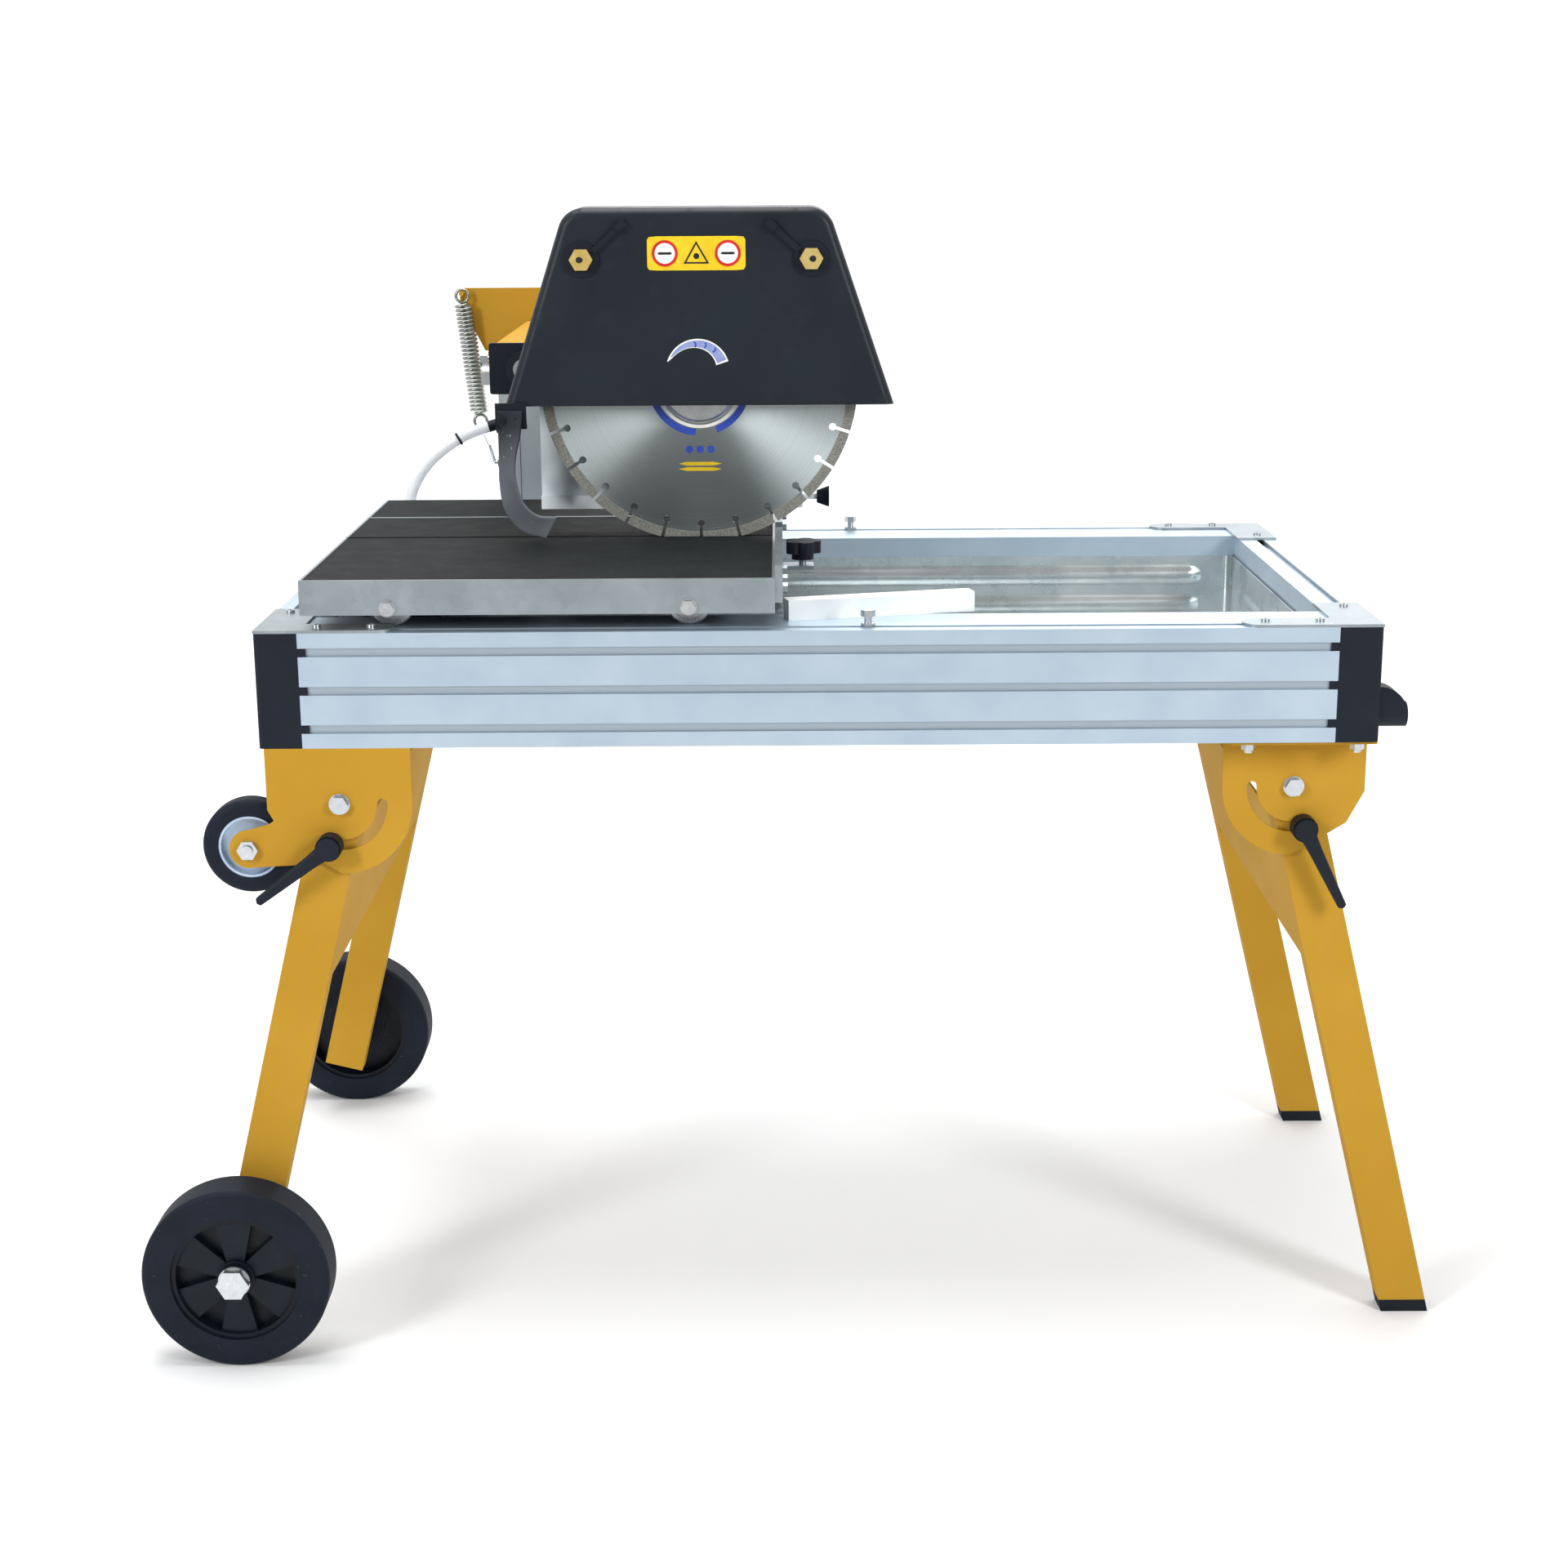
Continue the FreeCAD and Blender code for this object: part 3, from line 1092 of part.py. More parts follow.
def pivot_bolts():
    """The bolts that the legs turn on, with washer, head and nut."""
    pieces = []
    for side in (-1, 1):
        x, y0, y1 = leg_pivot(side), back(plate_back(side)), leg_y(side) + LEG_DEEP
        bolt = fused([rod(x, y0, LEG_PIVOT_Z, AY, PIVOT_BOLT_R, y1 + 9 - y0),
                      rod(x, y0 - 1.6, LEG_PIVOT_Z, AY, 11, 1.6),
                      hexagon(x, y0 - 8, LEG_PIVOT_Z, AY, 17, 7),
                      hexagon(x, y1 + 0.5, LEG_PIVOT_Z, AY, 17, 8)])
        pieces += [bolt, rear_copy(bolt)]
    return pieces


def small_axle():
    return leg_pivot(-1) - SMALL_OUT, LEG_PIVOT_Z - SMALL_DOWN


def small_wheel_axles():
    x, z = small_axle()
    y0 = back(LEFT_PLATE_BACK)
    y1 = y0 + BRACKET_THICK + 5 + SMALL_WIDE
    axle = fused([rod(x, y0 - 10, z, AY, SMALL_AXLE_R, y1 - y0 + 12),
                  hexagon(x, y0 - 7, z, AY, 19, 7),
                  rod(x, y0 + BRACKET_THICK, z, AY, 10, 4.5), hexagon(x, y1 + 0.5, z, AY, 17, 6)])
    return [axle, rear_copy(axle)]


def leg_tube(side):
    """A leg's hollow rectangular tube, cut level above the foot on the right."""
    y0 = leg_y(side)
    lean = radians(LEG_LEAN)
    bottom_z = FOOT_HIGH if side > 0 else 0.0
    length = (LEG_PIVOT_Z - bottom_z) / cos(lean) + LEG_WIDE if side > 0 else LEFT_LEG_LONG

    def bar(wide, inset):
        corners = [along_leg(side, -25 + inset, wide), along_leg(side, -25 + inset, -wide),
                   along_leg(side, length, -wide), along_leg(side, length, wide)]
        return plate_xz(corners, y0 + inset, y0 + LEG_DEEP - inset)

    outer = bar(LEG_WIDE / 2, 0)
    inner = bar(LEG_WIDE / 2 - LEG_WALL, LEG_WALL)
    if side > 0:
        keep = block(-900, 900, -900, 900, bottom_z, 900)
        outer, inner = outer.common(keep), inner.common(keep)
    tube = outer.cut(inner)
    stud_x, stud_z = along_leg(side, CLAMP_ARM)
    holes = [rod(leg_pivot(side), y0 - 1, LEG_PIVOT_Z, AY, PIVOT_BOLT_R + RUN_GAP, LEG_DEEP + 2),
             rod(stud_x, y0 - 1, stud_z, AY, STUD_R, LEG_DEEP + 2)]
    return tube.cut(group(holes))


LEFT_LEG_LONG = (LEG_PIVOT_Z - 66.0) / cos(radians(LEG_LEAN))


def leg_frame(side):
    """Two legs and the cross panel welded between them on the inner side."""
    front = leg_tube(side)
    y1 = -(leg_y(side) + LEG_DEEP)
    start = 34.0
    end = (LEG_PIVOT_Z - PANEL_LOW) / cos(radians(LEG_LEAN))
    inner = -LEG_WIDE / 2
    corners = [along_leg(side, start, inner), along_leg(side, start, inner + PANEL_THICK),
               along_leg(side, end, inner + PANEL_THICK), along_leg(side, end, inner)]
    panel = plate_xz(corners, -y1, y1)
    corners = [along_leg(side, end, inner), along_leg(side, end, inner + 18),
               along_leg(side, end - PANEL_THICK, inner + 18), along_leg(side, end - PANEL_THICK, inner)]
    fold = plate_xz(corners, -y1, y1)
    return fused([front, rear_copy(front), panel, fold])


def leg_feet():
    """Rubber plugs under the right legs."""
    y0 = leg_y(1)
    lean = radians(LEG_LEAN)
    half = LEG_WIDE / 2 / cos(lean)
    at_top, at_floor = [leg_pivot(1) + (LEG_PIVOT_Z - z) * tan(lean) for z in (FOOT_HIGH, 0)]
    foot = plate_xz([(at_top - half, FOOT_HIGH), (at_top + half, FOOT_HIGH),
                     (at_floor + half, 0), (at_floor - half, 0)], y0, y0 + LEG_DEEP)
    return pair(foot)


def wheel_centre():
    down = (LEG_PIVOT_Z - WHEEL_R) / cos(radians(LEG_LEAN))
    return along_leg(-1, down)


def wheel_y():
    """The wheel's inner and outer faces, front side."""
    inner = back(-WHEEL_GAP)
    return inner - WHEEL_WIDE, inner


def clamp_stud(side):
    x, z = along_leg(side, CLAMP_ARM)
    y0, y1 = back(plate_back(side)), leg_y(side) + LEG_DEEP
    return fused([rod(x, y0 - 22, z, AY, STUD_R, y1 + 8 - y0 + 22), hexagon(x, y1, z, AY, 15, 8)])


def left_leg_bolts():
    x, z = wheel_centre()
    outer, inner = wheel_y()
    leg = leg_y(-1)
    axle = fused([rod(x, outer - 2, z, AY, AXLE_R, leg - outer + 2),
                  rod(x, outer - 4, z, AY, 17, 2.5), hexagon(x, outer - 14, z, AY, 30, 10),
                  rod(x, inner + 0.5, z, AY, 15, leg - inner - 0.5)])
    return group([axle, rear_copy(axle), clamp_stud(-1), rear_copy(clamp_stud(-1))])


def right_leg_studs():
    return pair(clamp_stud(1))


def wheel_tyre():
    """A solid rubber tyre on a spoked plastic hub, front left."""
    x, z = wheel_centre()
    y0, y1 = wheel_y()
    tyre = ring(x, y0, z, AY, WHEEL_R, HUB_R, WHEEL_WIDE)
    tyre = rounded(tyre, 6, lambda e: e.Length > 6 * WHEEL_R)
    return tyre


def wheel_hub():
    x, z = wheel_centre()
    y0, y1 = wheel_y()
    y0 += 4
    deep = WHEEL_WIDE - 8
    rim = ring(x, y0, z, AY, HUB_R, HUB_R - 5, deep)
    web = rod(x, y0 + 14, z, AY, HUB_R - 4, 6)
    boss = rod(x, y0, z, AY, 20, deep)
    spokes = []
    for k in range(6):
        spoke = plate_xz([(-9, 16), (9, 16), (20, HUB_R - 4), (-20, HUB_R - 4)], y0 + 4, y0 + 15)
        spoke.rotate(V(0, 0, 0), AY, 60 * k)
        spoke.translate(V(x, 0, z))
        spokes.append(spoke)
    return fused([rim, web, boss] + spokes).cut(rod(x, y0 - 1, z, AY, AXLE_R + RUN_GAP, WHEEL_WIDE))


def small_tyre():
    """A small rubber tyre on a pressed steel rim, behind the left bracket."""
    x, z = small_axle()
    y0 = back(LEFT_PLATE_BACK) + BRACKET_THICK + 5
    tyre = ring(x, y0, z, AY, SMALL_R, SMALL_RIM, SMALL_WIDE)
    return rounded(tyre, 7, lambda e: e.Length > 6 * SMALL_R)


def small_rim():
    x, z = small_axle()
    y0 = back(LEFT_PLATE_BACK) + BRACKET_THICK + 5
    rim = ring(x, y0 + 1, z, AY, SMALL_RIM, SMALL_RIM - 2.5, SMALL_WIDE - 2)
    web = rod(x, y0 + 10, z, AY, SMALL_RIM - 2, 3)
    boss = rod(x, y0, z, AY, 12, SMALL_WIDE)
    return fused([rim, web, boss]).cut(rod(x, y0 - 1, z, AY, SMALL_AXLE_R + RUN_GAP, SMALL_WIDE + 2))


def clamp_lever(side):
    """A moulded lever: round head, short neck and a tapering arm that stands proud."""
    x, z = along_leg(side, CLAMP_ARM)
    y = back(plate_back(side))
    head = fused([rod(x, y - 20, z, AY, 13.5, 17), rod(x, y - 3, z, AY, 9, 2.6)])
    head = head.cut(rod(x, y - 23, z, AY, STUD_R + RUN_GAP, 26))
    cap = rod(x, y - 25, z, AY, 12, 3)
    points = [(8, -8.5), (26, -7), (93, -4.5), (95, 0), (93, 4.5), (26, 7), (8, 8.5)]
    arm = plate_xz(points, y - 23.5, y - 13)
    arm = rounded(arm, 3, lambda e: runs_along(e, AX) or e.Length > 30)
    lean = 143.0 if side < 0 else 63.0
    arm.rotate(V(0, 0, 0), AY, lean)
    arm.translate(V(x, 0, z))
    arm = arm.cut(rod(x, y - 30, z, AY, STUD_R + 3, 30))
    return fused([head, cap, arm])


# ---- everything, node by node
def build_frame():
    made["long_rails"] = pair(rail(FRAME_LENGTH - 2 * POST_SIZE))
    made["end_rails"] = group([end_rail(), end_copy(end_rail())])
    made["corner_posts"] = corner_posts()
    plates = [corner_plate(), end_copy(corner_plate())]
    made["corner_plates"] = group(plates + [rear_copy(shape) for shape in plates])
    made["frame_screws"] = group(corner_screws() + bracket_screws() + rail_bolts())
    made["roller_tracks"] = tracks()
    made["guide_bar"] = guide_bar()
    made["lifting_handle"] = lifting_handle()
    made["brackets"] = group([bracket(-1), rear_copy(bracket(-1)), bracket(1), rear_copy(bracket(1))])
    made["bracket_bolts"] = group(pivot_bolts() + small_wheel_axles())


def build_water():
    made["water_tray"] = water_tray()
    made["drain_plug"] = drain_plug()
    made["water_pump"] = water_pump()
    made["water_fittings"] = group([pump_pipe(), hose_fitting()])
    made["water_hose"] = hose()


def build_column():
    made["column"] = column()
    made["column_caps"] = group([column_shoe(), beam_cap()])
    made["beam"] = beam()
    made["beam_bushes"] = beam_bushes()
    made["column_bolts"] = group([travel_stop(), spring_anchor()])
    made["balance_spring"] = spring()


def build_head():
    made["pivot_shaft"] = pivot_shaft()
    made["lever_plate"] = lever_plate()
    made["swing_arm"] = swing_arm()
    made["motor_body"] = motor_body()
    made["fan_cover"] = fan_cover()
    made["switch_box"] = switch_box()
    made["cord_inlet"] = cord_inlet()
    made["start_button"] = button(button_zs()[0])
    made["stop_button"] = button(button_zs()[1])
    made["blade_guard"] = guard()
    made["guard_fittings"] = guard_fittings()
    made["guard_clips"] = group(guard_clips() + [flap_clamp()])
    made["splash_plate"] = splash_plate()
    made["splash_knob"] = splash_knob()
    made["splash_flap"] = splash_flap()
    made["blade"] = blade_disc()
    made["blade_spindle"] = blade_flanges()


def build_cart():
    made["cart_frame"] = group([cart_frame(), cart_strip()])
    made["cart_boards"] = cart_boards()
    made["cart_fence"] = cart_fence()
    made["cart_knob"] = cart_knob()
    made["roller_axles"] = roller_axles()
    names = ("front_left", "front_right", "rear_left", "rear_right")
    for name, spot in zip(names, roller_spots()):
        made["roller_" + name] = roller(spot)


def build_legs():
    made["left_legs"] = leg_frame(-1)
    made["right_legs"] = leg_frame(1)
    made["left_leg_bolts"] = left_leg_bolts()
    made["right_leg_studs"] = right_leg_studs()
    made["leg_feet"] = leg_feet()
    for name, change in (("front", lambda shape: shape), ("rear", rear_copy)):
        made["wheel_" + name] = group([change(wheel_tyre()), change(wheel_hub())])
        made["small_wheel_" + name] = group([change(small_tyre()), change(small_rim())])
        made["clamp_lever_left_" + name] = change(clamp_lever(-1))
        made["clamp_lever_right_" + name] = change(clamp_lever(1))


def save():
    """Move the saw so that its box is centred on the origin, standing on Z = 0."""
    box = FreeCAD.BoundBox()
    for name, shape in made.items():
        if name != "water_hose":
            box.add(shape.optimalBoundingBox(False))
    shift = V(-box.Center.x, -box.Center.y, -box.ZMin)
    print("size %.1f x %.1f x %.1f mm" % (box.XLength, box.YLength, box.ZLength))
    print("moved by (%.3f, %.3f, %.3f) mm" % (shift.x, shift.y, shift.z))
    os.makedirs("parts", exist_ok=True)
    for name, shape in made.items():
        shape.translate(shift)
        if not shape.isValid() or not shape.Solids:
            print("CHECK", name, shape.isValid(), len(shape.Solids))
        shape.exportStep("parts/%s.step" % name)
    print(len(made), "nodes")


build_frame()
build_water()
build_column()
build_head()
build_cart()
build_legs()
save()
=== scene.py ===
# %% [markdown]
# # A wheeled tile saw
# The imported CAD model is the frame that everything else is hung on. It holds every
# part at its real size, in metres, with the floor at Z = 0. This lesson gives each
# part its finish, and makes the few pieces whose look the CAD solid only stands for:
# the coil spring, the hose, the rubber flap, the tray's pressed ridges and the decals.

# %% Load the frame
from math import pi, radians

import bpy
import numpy as np
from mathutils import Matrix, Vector


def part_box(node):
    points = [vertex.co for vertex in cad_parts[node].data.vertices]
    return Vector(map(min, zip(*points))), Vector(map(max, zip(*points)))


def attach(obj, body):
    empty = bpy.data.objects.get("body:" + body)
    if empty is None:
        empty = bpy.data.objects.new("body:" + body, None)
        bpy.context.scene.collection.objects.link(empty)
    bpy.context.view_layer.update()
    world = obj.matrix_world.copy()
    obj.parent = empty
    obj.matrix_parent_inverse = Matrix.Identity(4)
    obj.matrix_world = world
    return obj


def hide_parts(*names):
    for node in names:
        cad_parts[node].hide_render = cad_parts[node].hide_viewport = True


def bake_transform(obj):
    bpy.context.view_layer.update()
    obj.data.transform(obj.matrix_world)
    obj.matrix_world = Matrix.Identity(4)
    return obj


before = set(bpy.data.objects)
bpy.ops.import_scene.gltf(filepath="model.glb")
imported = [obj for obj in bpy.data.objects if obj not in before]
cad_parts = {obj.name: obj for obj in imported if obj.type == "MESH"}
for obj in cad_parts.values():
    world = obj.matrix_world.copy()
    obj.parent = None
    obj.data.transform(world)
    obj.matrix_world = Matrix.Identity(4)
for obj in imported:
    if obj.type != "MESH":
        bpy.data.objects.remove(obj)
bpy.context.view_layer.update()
MM = 0.001

# %% [markdown]
# ## Camera, floor and light
# The saw is seen from the operator's side at chest height, from nearly three metres,
# with the view tipped down by about fourteen degrees. A long lens would flatten
# the table, so the lens is a moderate one. The saw stands in front of a white sweep,
# with a dimmer room behind the viewer, so the world is white towards the rear and
# grey towards the front. Metal shows only what it reflects: against the grey room one
# panel high on each side gives the steel its bands and the blade its bright fans.

# %% Camera
CAMERA_PLACE = (-0.0138, -2.846, 1.264)
CAMERA_DOWN = radians(14.37)
CAMERA_ROLL = radians(-0.35)
LENS_MM = 57.4

lens = bpy.data.cameras.new("camera")
lens.lens = LENS_MM
lens.sensor_width = 36
camera = bpy.data.objects.new("camera", lens)
camera.location = CAMERA_PLACE
camera.rotation_euler = (pi / 2 - CAMERA_DOWN, 0, 0)
camera.rotation_euler.rotate_axis("Z", CAMERA_ROLL)
bpy.context.scene.collection.objects.link(camera)
bpy.context.scene.camera = camera
bpy.context.scene.view_settings.view_transform = "Standard"
print("camera at", CAMERA_PLACE)


# %% Nodes and colours
def linear(code):
    """An sRGB hex colour as linear RGBA: each channel c becomes ((c + 0.055) / 1.055) ** 2.4."""
    channels = np.array([int(code[k:k + 2], 16) for k in (1, 3, 5)]) / 255
    low = channels / 12.92
    high = ((channels + 0.055) / 1.055) ** 2.4
    return (*np.where(channels <= 0.04045, low, high).tolist(), 1.0)


def add(tree, kind, inputs=None, **settings):
    """One shader node: its settings, then its inputs, each a value or another node's socket."""
    node = tree.nodes.new("ShaderNode" + kind)
    for name, value in settings.items():
        setattr(node, name, value)
    for name, value in (inputs or {}).items():
        if isinstance(value, bpy.types.NodeSocket):
            tree.links.new(value, node.inputs[name])
        else:
            node.inputs[name].default_value = value
    return node


def ramp(tree, factor, stops):
    """A colour ramp through (position, colour) stops; a colour is a hex code or a grey level."""
    node = add(tree, "ValToRGB", {"Fac": factor})
    band = node.color_ramp
    while len(band.elements) < len(stops):
        band.elements.new(0.5)
    for element, (position, shade) in zip(band.elements, stops):
        element.position = position
        element.color = linear(shade) if isinstance(shade, str) else (shade, shade, shade, 1)
    return node.outputs["Color"]


def new_material(name, **shader_values):
    """A material with one Principled shader; its fixed values go on the shader's own sockets."""
    material = bpy.data.materials.new(name)
    material.use_nodes = True
    tree = material.node_tree
    shader = tree.nodes["Principled BSDF"]
    for socket, value in shader_values.items():
        shader.inputs[socket.replace("_", " ")].default_value = value
    place = add(tree, "TexCoord").outputs["Object"]
    return material, tree, shader, place


def noise(tree, place, grain_mm, detail=4.0, stretch=(1, 1, 1)):
    """Cloudy noise whose blotches are about grain_mm across, drawn out along the axes in stretch."""
    scale = [1 / (grain_mm * MM * s) for s in stretch]
    spread = add(tree, "Mapping", {"Vector": place, "Scale": scale})
    return add(tree, "TexNoise", {"Vector": spread.outputs[0], "Scale": 1.0, "Detail": detail}).outputs[0]


def bump(tree, shader, height, depth_mm, strength=1.0, under=None):
    """Relief from a height map, depth_mm deep where the map goes from 0 to 1."""
    inputs = {"Height": height, "Distance": depth_mm * MM, "Strength": strength}
    if under is not None:
        inputs["Normal"] = under
    node = add(tree, "Bump", inputs)
    tree.links.new(node.outputs[0], shader.inputs["Normal"])
    return node.outputs[0]


# %% Floor and lights
FLOOR_REACH = 9.0
GLOW_NEAR, GLOW_FAR, GLOW_STRENGTH = 0.6, 4.5, 0.75
ROOM_FRONT, ROOM_REAR = 0.22, 1.03
PANELS_AIM = Vector((0, 0, 0.75))
PANELS = {
    "overhead": ((-0.4, 0.1, 3.6), (2.6, 1.8), 95.0),
    "front_left": ((-2.3, -2.7, 2.1), (0.7, 1.3), 62.0),
    "front_right": ((2.2, -2.7, 2.1), (0.7, 1.3), 62.0),
    "rear": ((0.8, 3.0, 2.4), (2.6, 1.2), 20.0),
}

floor_mesh = bpy.data.meshes.new("floor")
corners = [(x * FLOOR_REACH, y * FLOOR_REACH, 0) for x, y in ((-1, -1), (1, -1), (1, 1), (-1, 1))]
floor_mesh.from_pydata(corners, [], [(0, 1, 2, 3)])
floor = bpy.data.objects.new("floor", floor_mesh)
bpy.context.scene.collection.objects.link(floor)
floor_paint, tree, shader, place = new_material("pale_floor", Roughness=0.85)
tree.links.new(ramp(tree, noise(tree, place, 900), [(0.3, "#e9eaeb"), (0.7, "#efefef")]),
               shader.inputs["Base Color"])
# The floor glows more with distance, from GLOW_NEAR to GLOW_FAR in Y: painted light that lifts the far floor
# to the white of the world, so no grey band shows at the horizon.
depth = add(tree, "SeparateXYZ", {0: place}).outputs["Y"]
glow = add(tree, "MapRange", {"Value": depth, "From Min": GLOW_NEAR, "From Max": GLOW_FAR,
                              "To Max": GLOW_STRENGTH})
tree.links.new(glow.outputs[0], shader.inputs["Emission Strength"])
shader.inputs["Emission Color"].default_value = linear("#ffffff")
floor_mesh.materials.append(floor_paint)

world = bpy.data.worlds.new("studio")
world.use_nodes = True
bpy.context.scene.world = world
backdrop = world.node_tree.nodes["Background"]
facing = add(world.node_tree, "SeparateXYZ", {0: add(world.node_tree, "TexCoord").outputs["Generated"]})
room = add(world.node_tree, "MapRange", {"Value": facing.outputs["Y"], "From Min": -0.3, "From Max": 0.1,
                                         "To Min": ROOM_FRONT, "To Max": ROOM_REAR})
world.node_tree.links.new(room.outputs[0], backdrop.inputs["Strength"])
backdrop.inputs["Color"].default_value = linear("#ffffff")

for name, (spot, size, watts) in PANELS.items():
    lamp = bpy.data.lights.new(name, "AREA")
    lamp.shape = "RECTANGLE"
    lamp.size, lamp.size_y = size
    lamp.energy = watts
    panel = bpy.data.objects.new(name, lamp)
    panel.location = spot
    panel.rotation_euler = (PANELS_AIM - Vector(spot)).to_track_quat("-Z", "Y").to_euler()
    bpy.context.scene.collection.objects.link(panel)
print("panels:", ", ".join(PANELS))

# %% [markdown]
# ## Aluminium and zinc
# The frame is a natural anodised extrusion: a pale, slightly blue grey whose sheen is
# broad, because the oxide scatters light. The die leaves hair-fine lines along the
# bar. The lines are drawn at 0.6 mm, coarser than real, so that they survive when
# the whole saw is seen. A grain stretched nine hundred times along one axis gives
# them, and needs no UV map. The floors of the long rails' grooves are painted a darker
# grey: partly the dust they hold, partly painted shade of the recess. Zinc sheet
# freezes in crystals, and each has a grey of its own.


# %% Extruded and rolled metals
GROOVE_DEPTH = 3 * MM


def in_groove(tree, place):
    """1 on the floor of a side groove: within half its depth of |Y| = outer - depth, and facing along Y."""
    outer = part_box("long_rails")[1].y
    across = add(tree, "Math", {0: add(tree, "SeparateXYZ", {0: place}).outputs["Y"]}, operation="ABSOLUTE")
    floor_y = add(tree, "Math", {0: across.outputs[0], 1: outer - GROOVE_DEPTH, 2: GROOVE_DEPTH / 2},
                  operation="COMPARE")
    normal = add(tree, "SeparateXYZ", {0: add(tree, "NewGeometry").outputs["True Normal"]}).outputs["Y"]
    facing = add(tree, "Math", {0: add(tree, "Math", {0: normal}, operation="ABSOLUTE").outputs[0], 1: 0.7},
                 operation="GREATER_THAN")
    return add(tree, "Math", {0: floor_y.outputs[0], 1: facing.outputs[0]}, operation="MULTIPLY").outputs[0]


def drawn_aluminium(name, stretch, shade_low, shade_high, roughness, metallic=0.72, groove=None):
    """Anodised or bare bar: lines drawn along the stretched axis, and faint clouding.

    If groove is a shade, the floors of the profile's grooves take it: partly the dust they hold, partly
    painted shade of the recess.
    """
    material, tree, shader, place = new_material(name, Metallic=metallic)
    lines = noise(tree, place, 0.6, 2, stretch)
    clouds = noise(tree, place, 70, 5)
    skin = ramp(tree, clouds, [(0.32, shade_low), (0.68, shade_high)])
    if groove:
        skin = add(tree, "Mix", {"Factor": in_groove(tree, place), "A": skin, "B": linear(groove)},
                   data_type="RGBA").outputs[2]
    tree.links.new(skin, shader.inputs["Base Color"])
    grain = add(tree, "MapRange", {"Value": lines, "To Min": roughness - 0.07, "To Max": roughness + 0.09})
    tree.links.new(grain.outputs[0], shader.inputs["Roughness"])
    bump(tree, shader, lines, 0.03)
    return material


def zinc_sheet(name, spangle_mm, shades, roughness):
    """Galvanised sheet: zinc freezes in crystals, each of its own grey, with soft water marks."""
    material, tree, shader, place = new_material(name, Metallic=0.9)
    cells = add(tree, "TexVoronoi", {"Vector": place, "Scale": 1 / (spangle_mm * MM)}, feature="F1")
    marks = noise(tree, place, 60, 6)
    blend = add(tree, "Mix", {"Factor": 0.2, "A": marks, "B": cells.outputs["Color"]}, data_type="FLOAT")
    tree.links.new(ramp(tree, blend.outputs[0], [(0.25, shades[0]), (0.75, shades[1])]),
                   shader.inputs["Base Color"])
    dull = add(tree, "MapRange", {"Value": marks, "To Min": roughness - 0.08, "To Max": roughness + 0.14})
    tree.links.new(dull.outputs[0], shader.inputs["Roughness"])
    bump(tree, shader, noise(tree, place, 25, 3), 0.25)
    return material


ALONG_X, ALONG_Y, ALONG_Z = (900, 1, 1), (1, 900, 1), (1, 1, 900)
# the darker groove floors are partly dust and partly painted shade of the recess
anodised_x = drawn_aluminium("anodised_extrusion_x", ALONG_X, "#afc0cf", "#bac9d6", 0.42, groove="#a3b0ba")
anodised_y = drawn_aluminium("anodised_extrusion_y", ALONG_Y, "#b6c5d1", "#c3d0da", 0.42)
anodised_z = drawn_aluminium("anodised_extrusion_z", ALONG_Z, "#b2bcc4", "#c0cad0", 0.45)
bare_bar = drawn_aluminium("bare_aluminium_bar", ALONG_X, "#e6eaea", "#f4f6f4", 0.5)
splash_sheet = drawn_aluminium("rolled_aluminium_sheet", ALONG_Z, "#dfebf0", "#ecf3f6", 0.6, 0.05)
galvanised = zinc_sheet("galvanised_sheet", 9, ("#949fa4", "#aab3b8"), 0.33)
tray_zinc = zinc_sheet("galvanised_tray", 14, ("#c0c9cd", "#dce1e1"), 0.26)
zinc_bolts = zinc_sheet("zinc_plated_bolts", 4, ("#b5bbc0", "#d8dcde"), 0.24)
print("metals:", anodised_x.name, galvanised.name, tray_zinc.name)

# %% [markdown]
# ## Paint
# Powder coat is sprayed as dust and baked, so it flows into a skin with a slight
# orange peel, about 3 mm from crest to crest. The yellow is warm and nearly matt.
# The guard's black coat is smoother and a touch blue, and wear shows on every coat
# as small matt scuffs. The motor's enamel has a thin clear skin over it.


# %% Powder coats
def powder_coat(name, shades, roughness, peel_mm=3.0, scuff=0.12, coat=0.15, gloss=0.2):
    """Baked paint: a satin skin with orange peel, drifting shade and matt scuffs."""
    material, tree, shader, place = new_material(name, Coat_Weight=coat, Coat_Roughness=0.25,
                                                 Specular_IOR_Level=gloss)
    drift = noise(tree, place, 160, 5)
    tree.links.new(ramp(tree, drift, [(0.3, shades[0]), (0.7, shades[1])]), shader.inputs["Base Color"])
    scuffs = ramp(tree, noise(tree, place, 18, 8), [(0.58, 0.0), (0.72, 1.0)])
    rough = add(tree, "MapRange", {"Value": scuffs, "To Min": roughness, "To Max": roughness + scuff})
    tree.links.new(rough.outputs[0], shader.inputs["Roughness"])
    bump(tree, shader, noise(tree, place, peel_mm, 1), 0.05)
    return material


yellow_coat = powder_coat("yellow_powder_coat", ("#b1862a", "#b98e31"), 0.7, coat=0.0,
                          gloss=0.06)
black_coat = powder_coat("black_powder_coat", ("#191e25", "#20272f"), 0.4, peel_mm=2.0, scuff=0.2, coat=0.0)
motor_enamel = powder_coat("grey_motor_enamel", ("#596067", "#666e75"), 0.45)
print("paints:", yellow_coat.name, black_coat.name)

# %% [markdown]
# ## Plastic and rubber
# The corner posts, knobs and levers are moulded glass-filled nylon: black with a
# spark-eroded texture, drawn here at 1.2 mm. Rubber is duller still, holds dust, and
# shows fine mould marks. The cart's boards carry a thin rubber facing, worn grey and
# dusted by stone, with shallow ribs 4 mm apart along the cart.


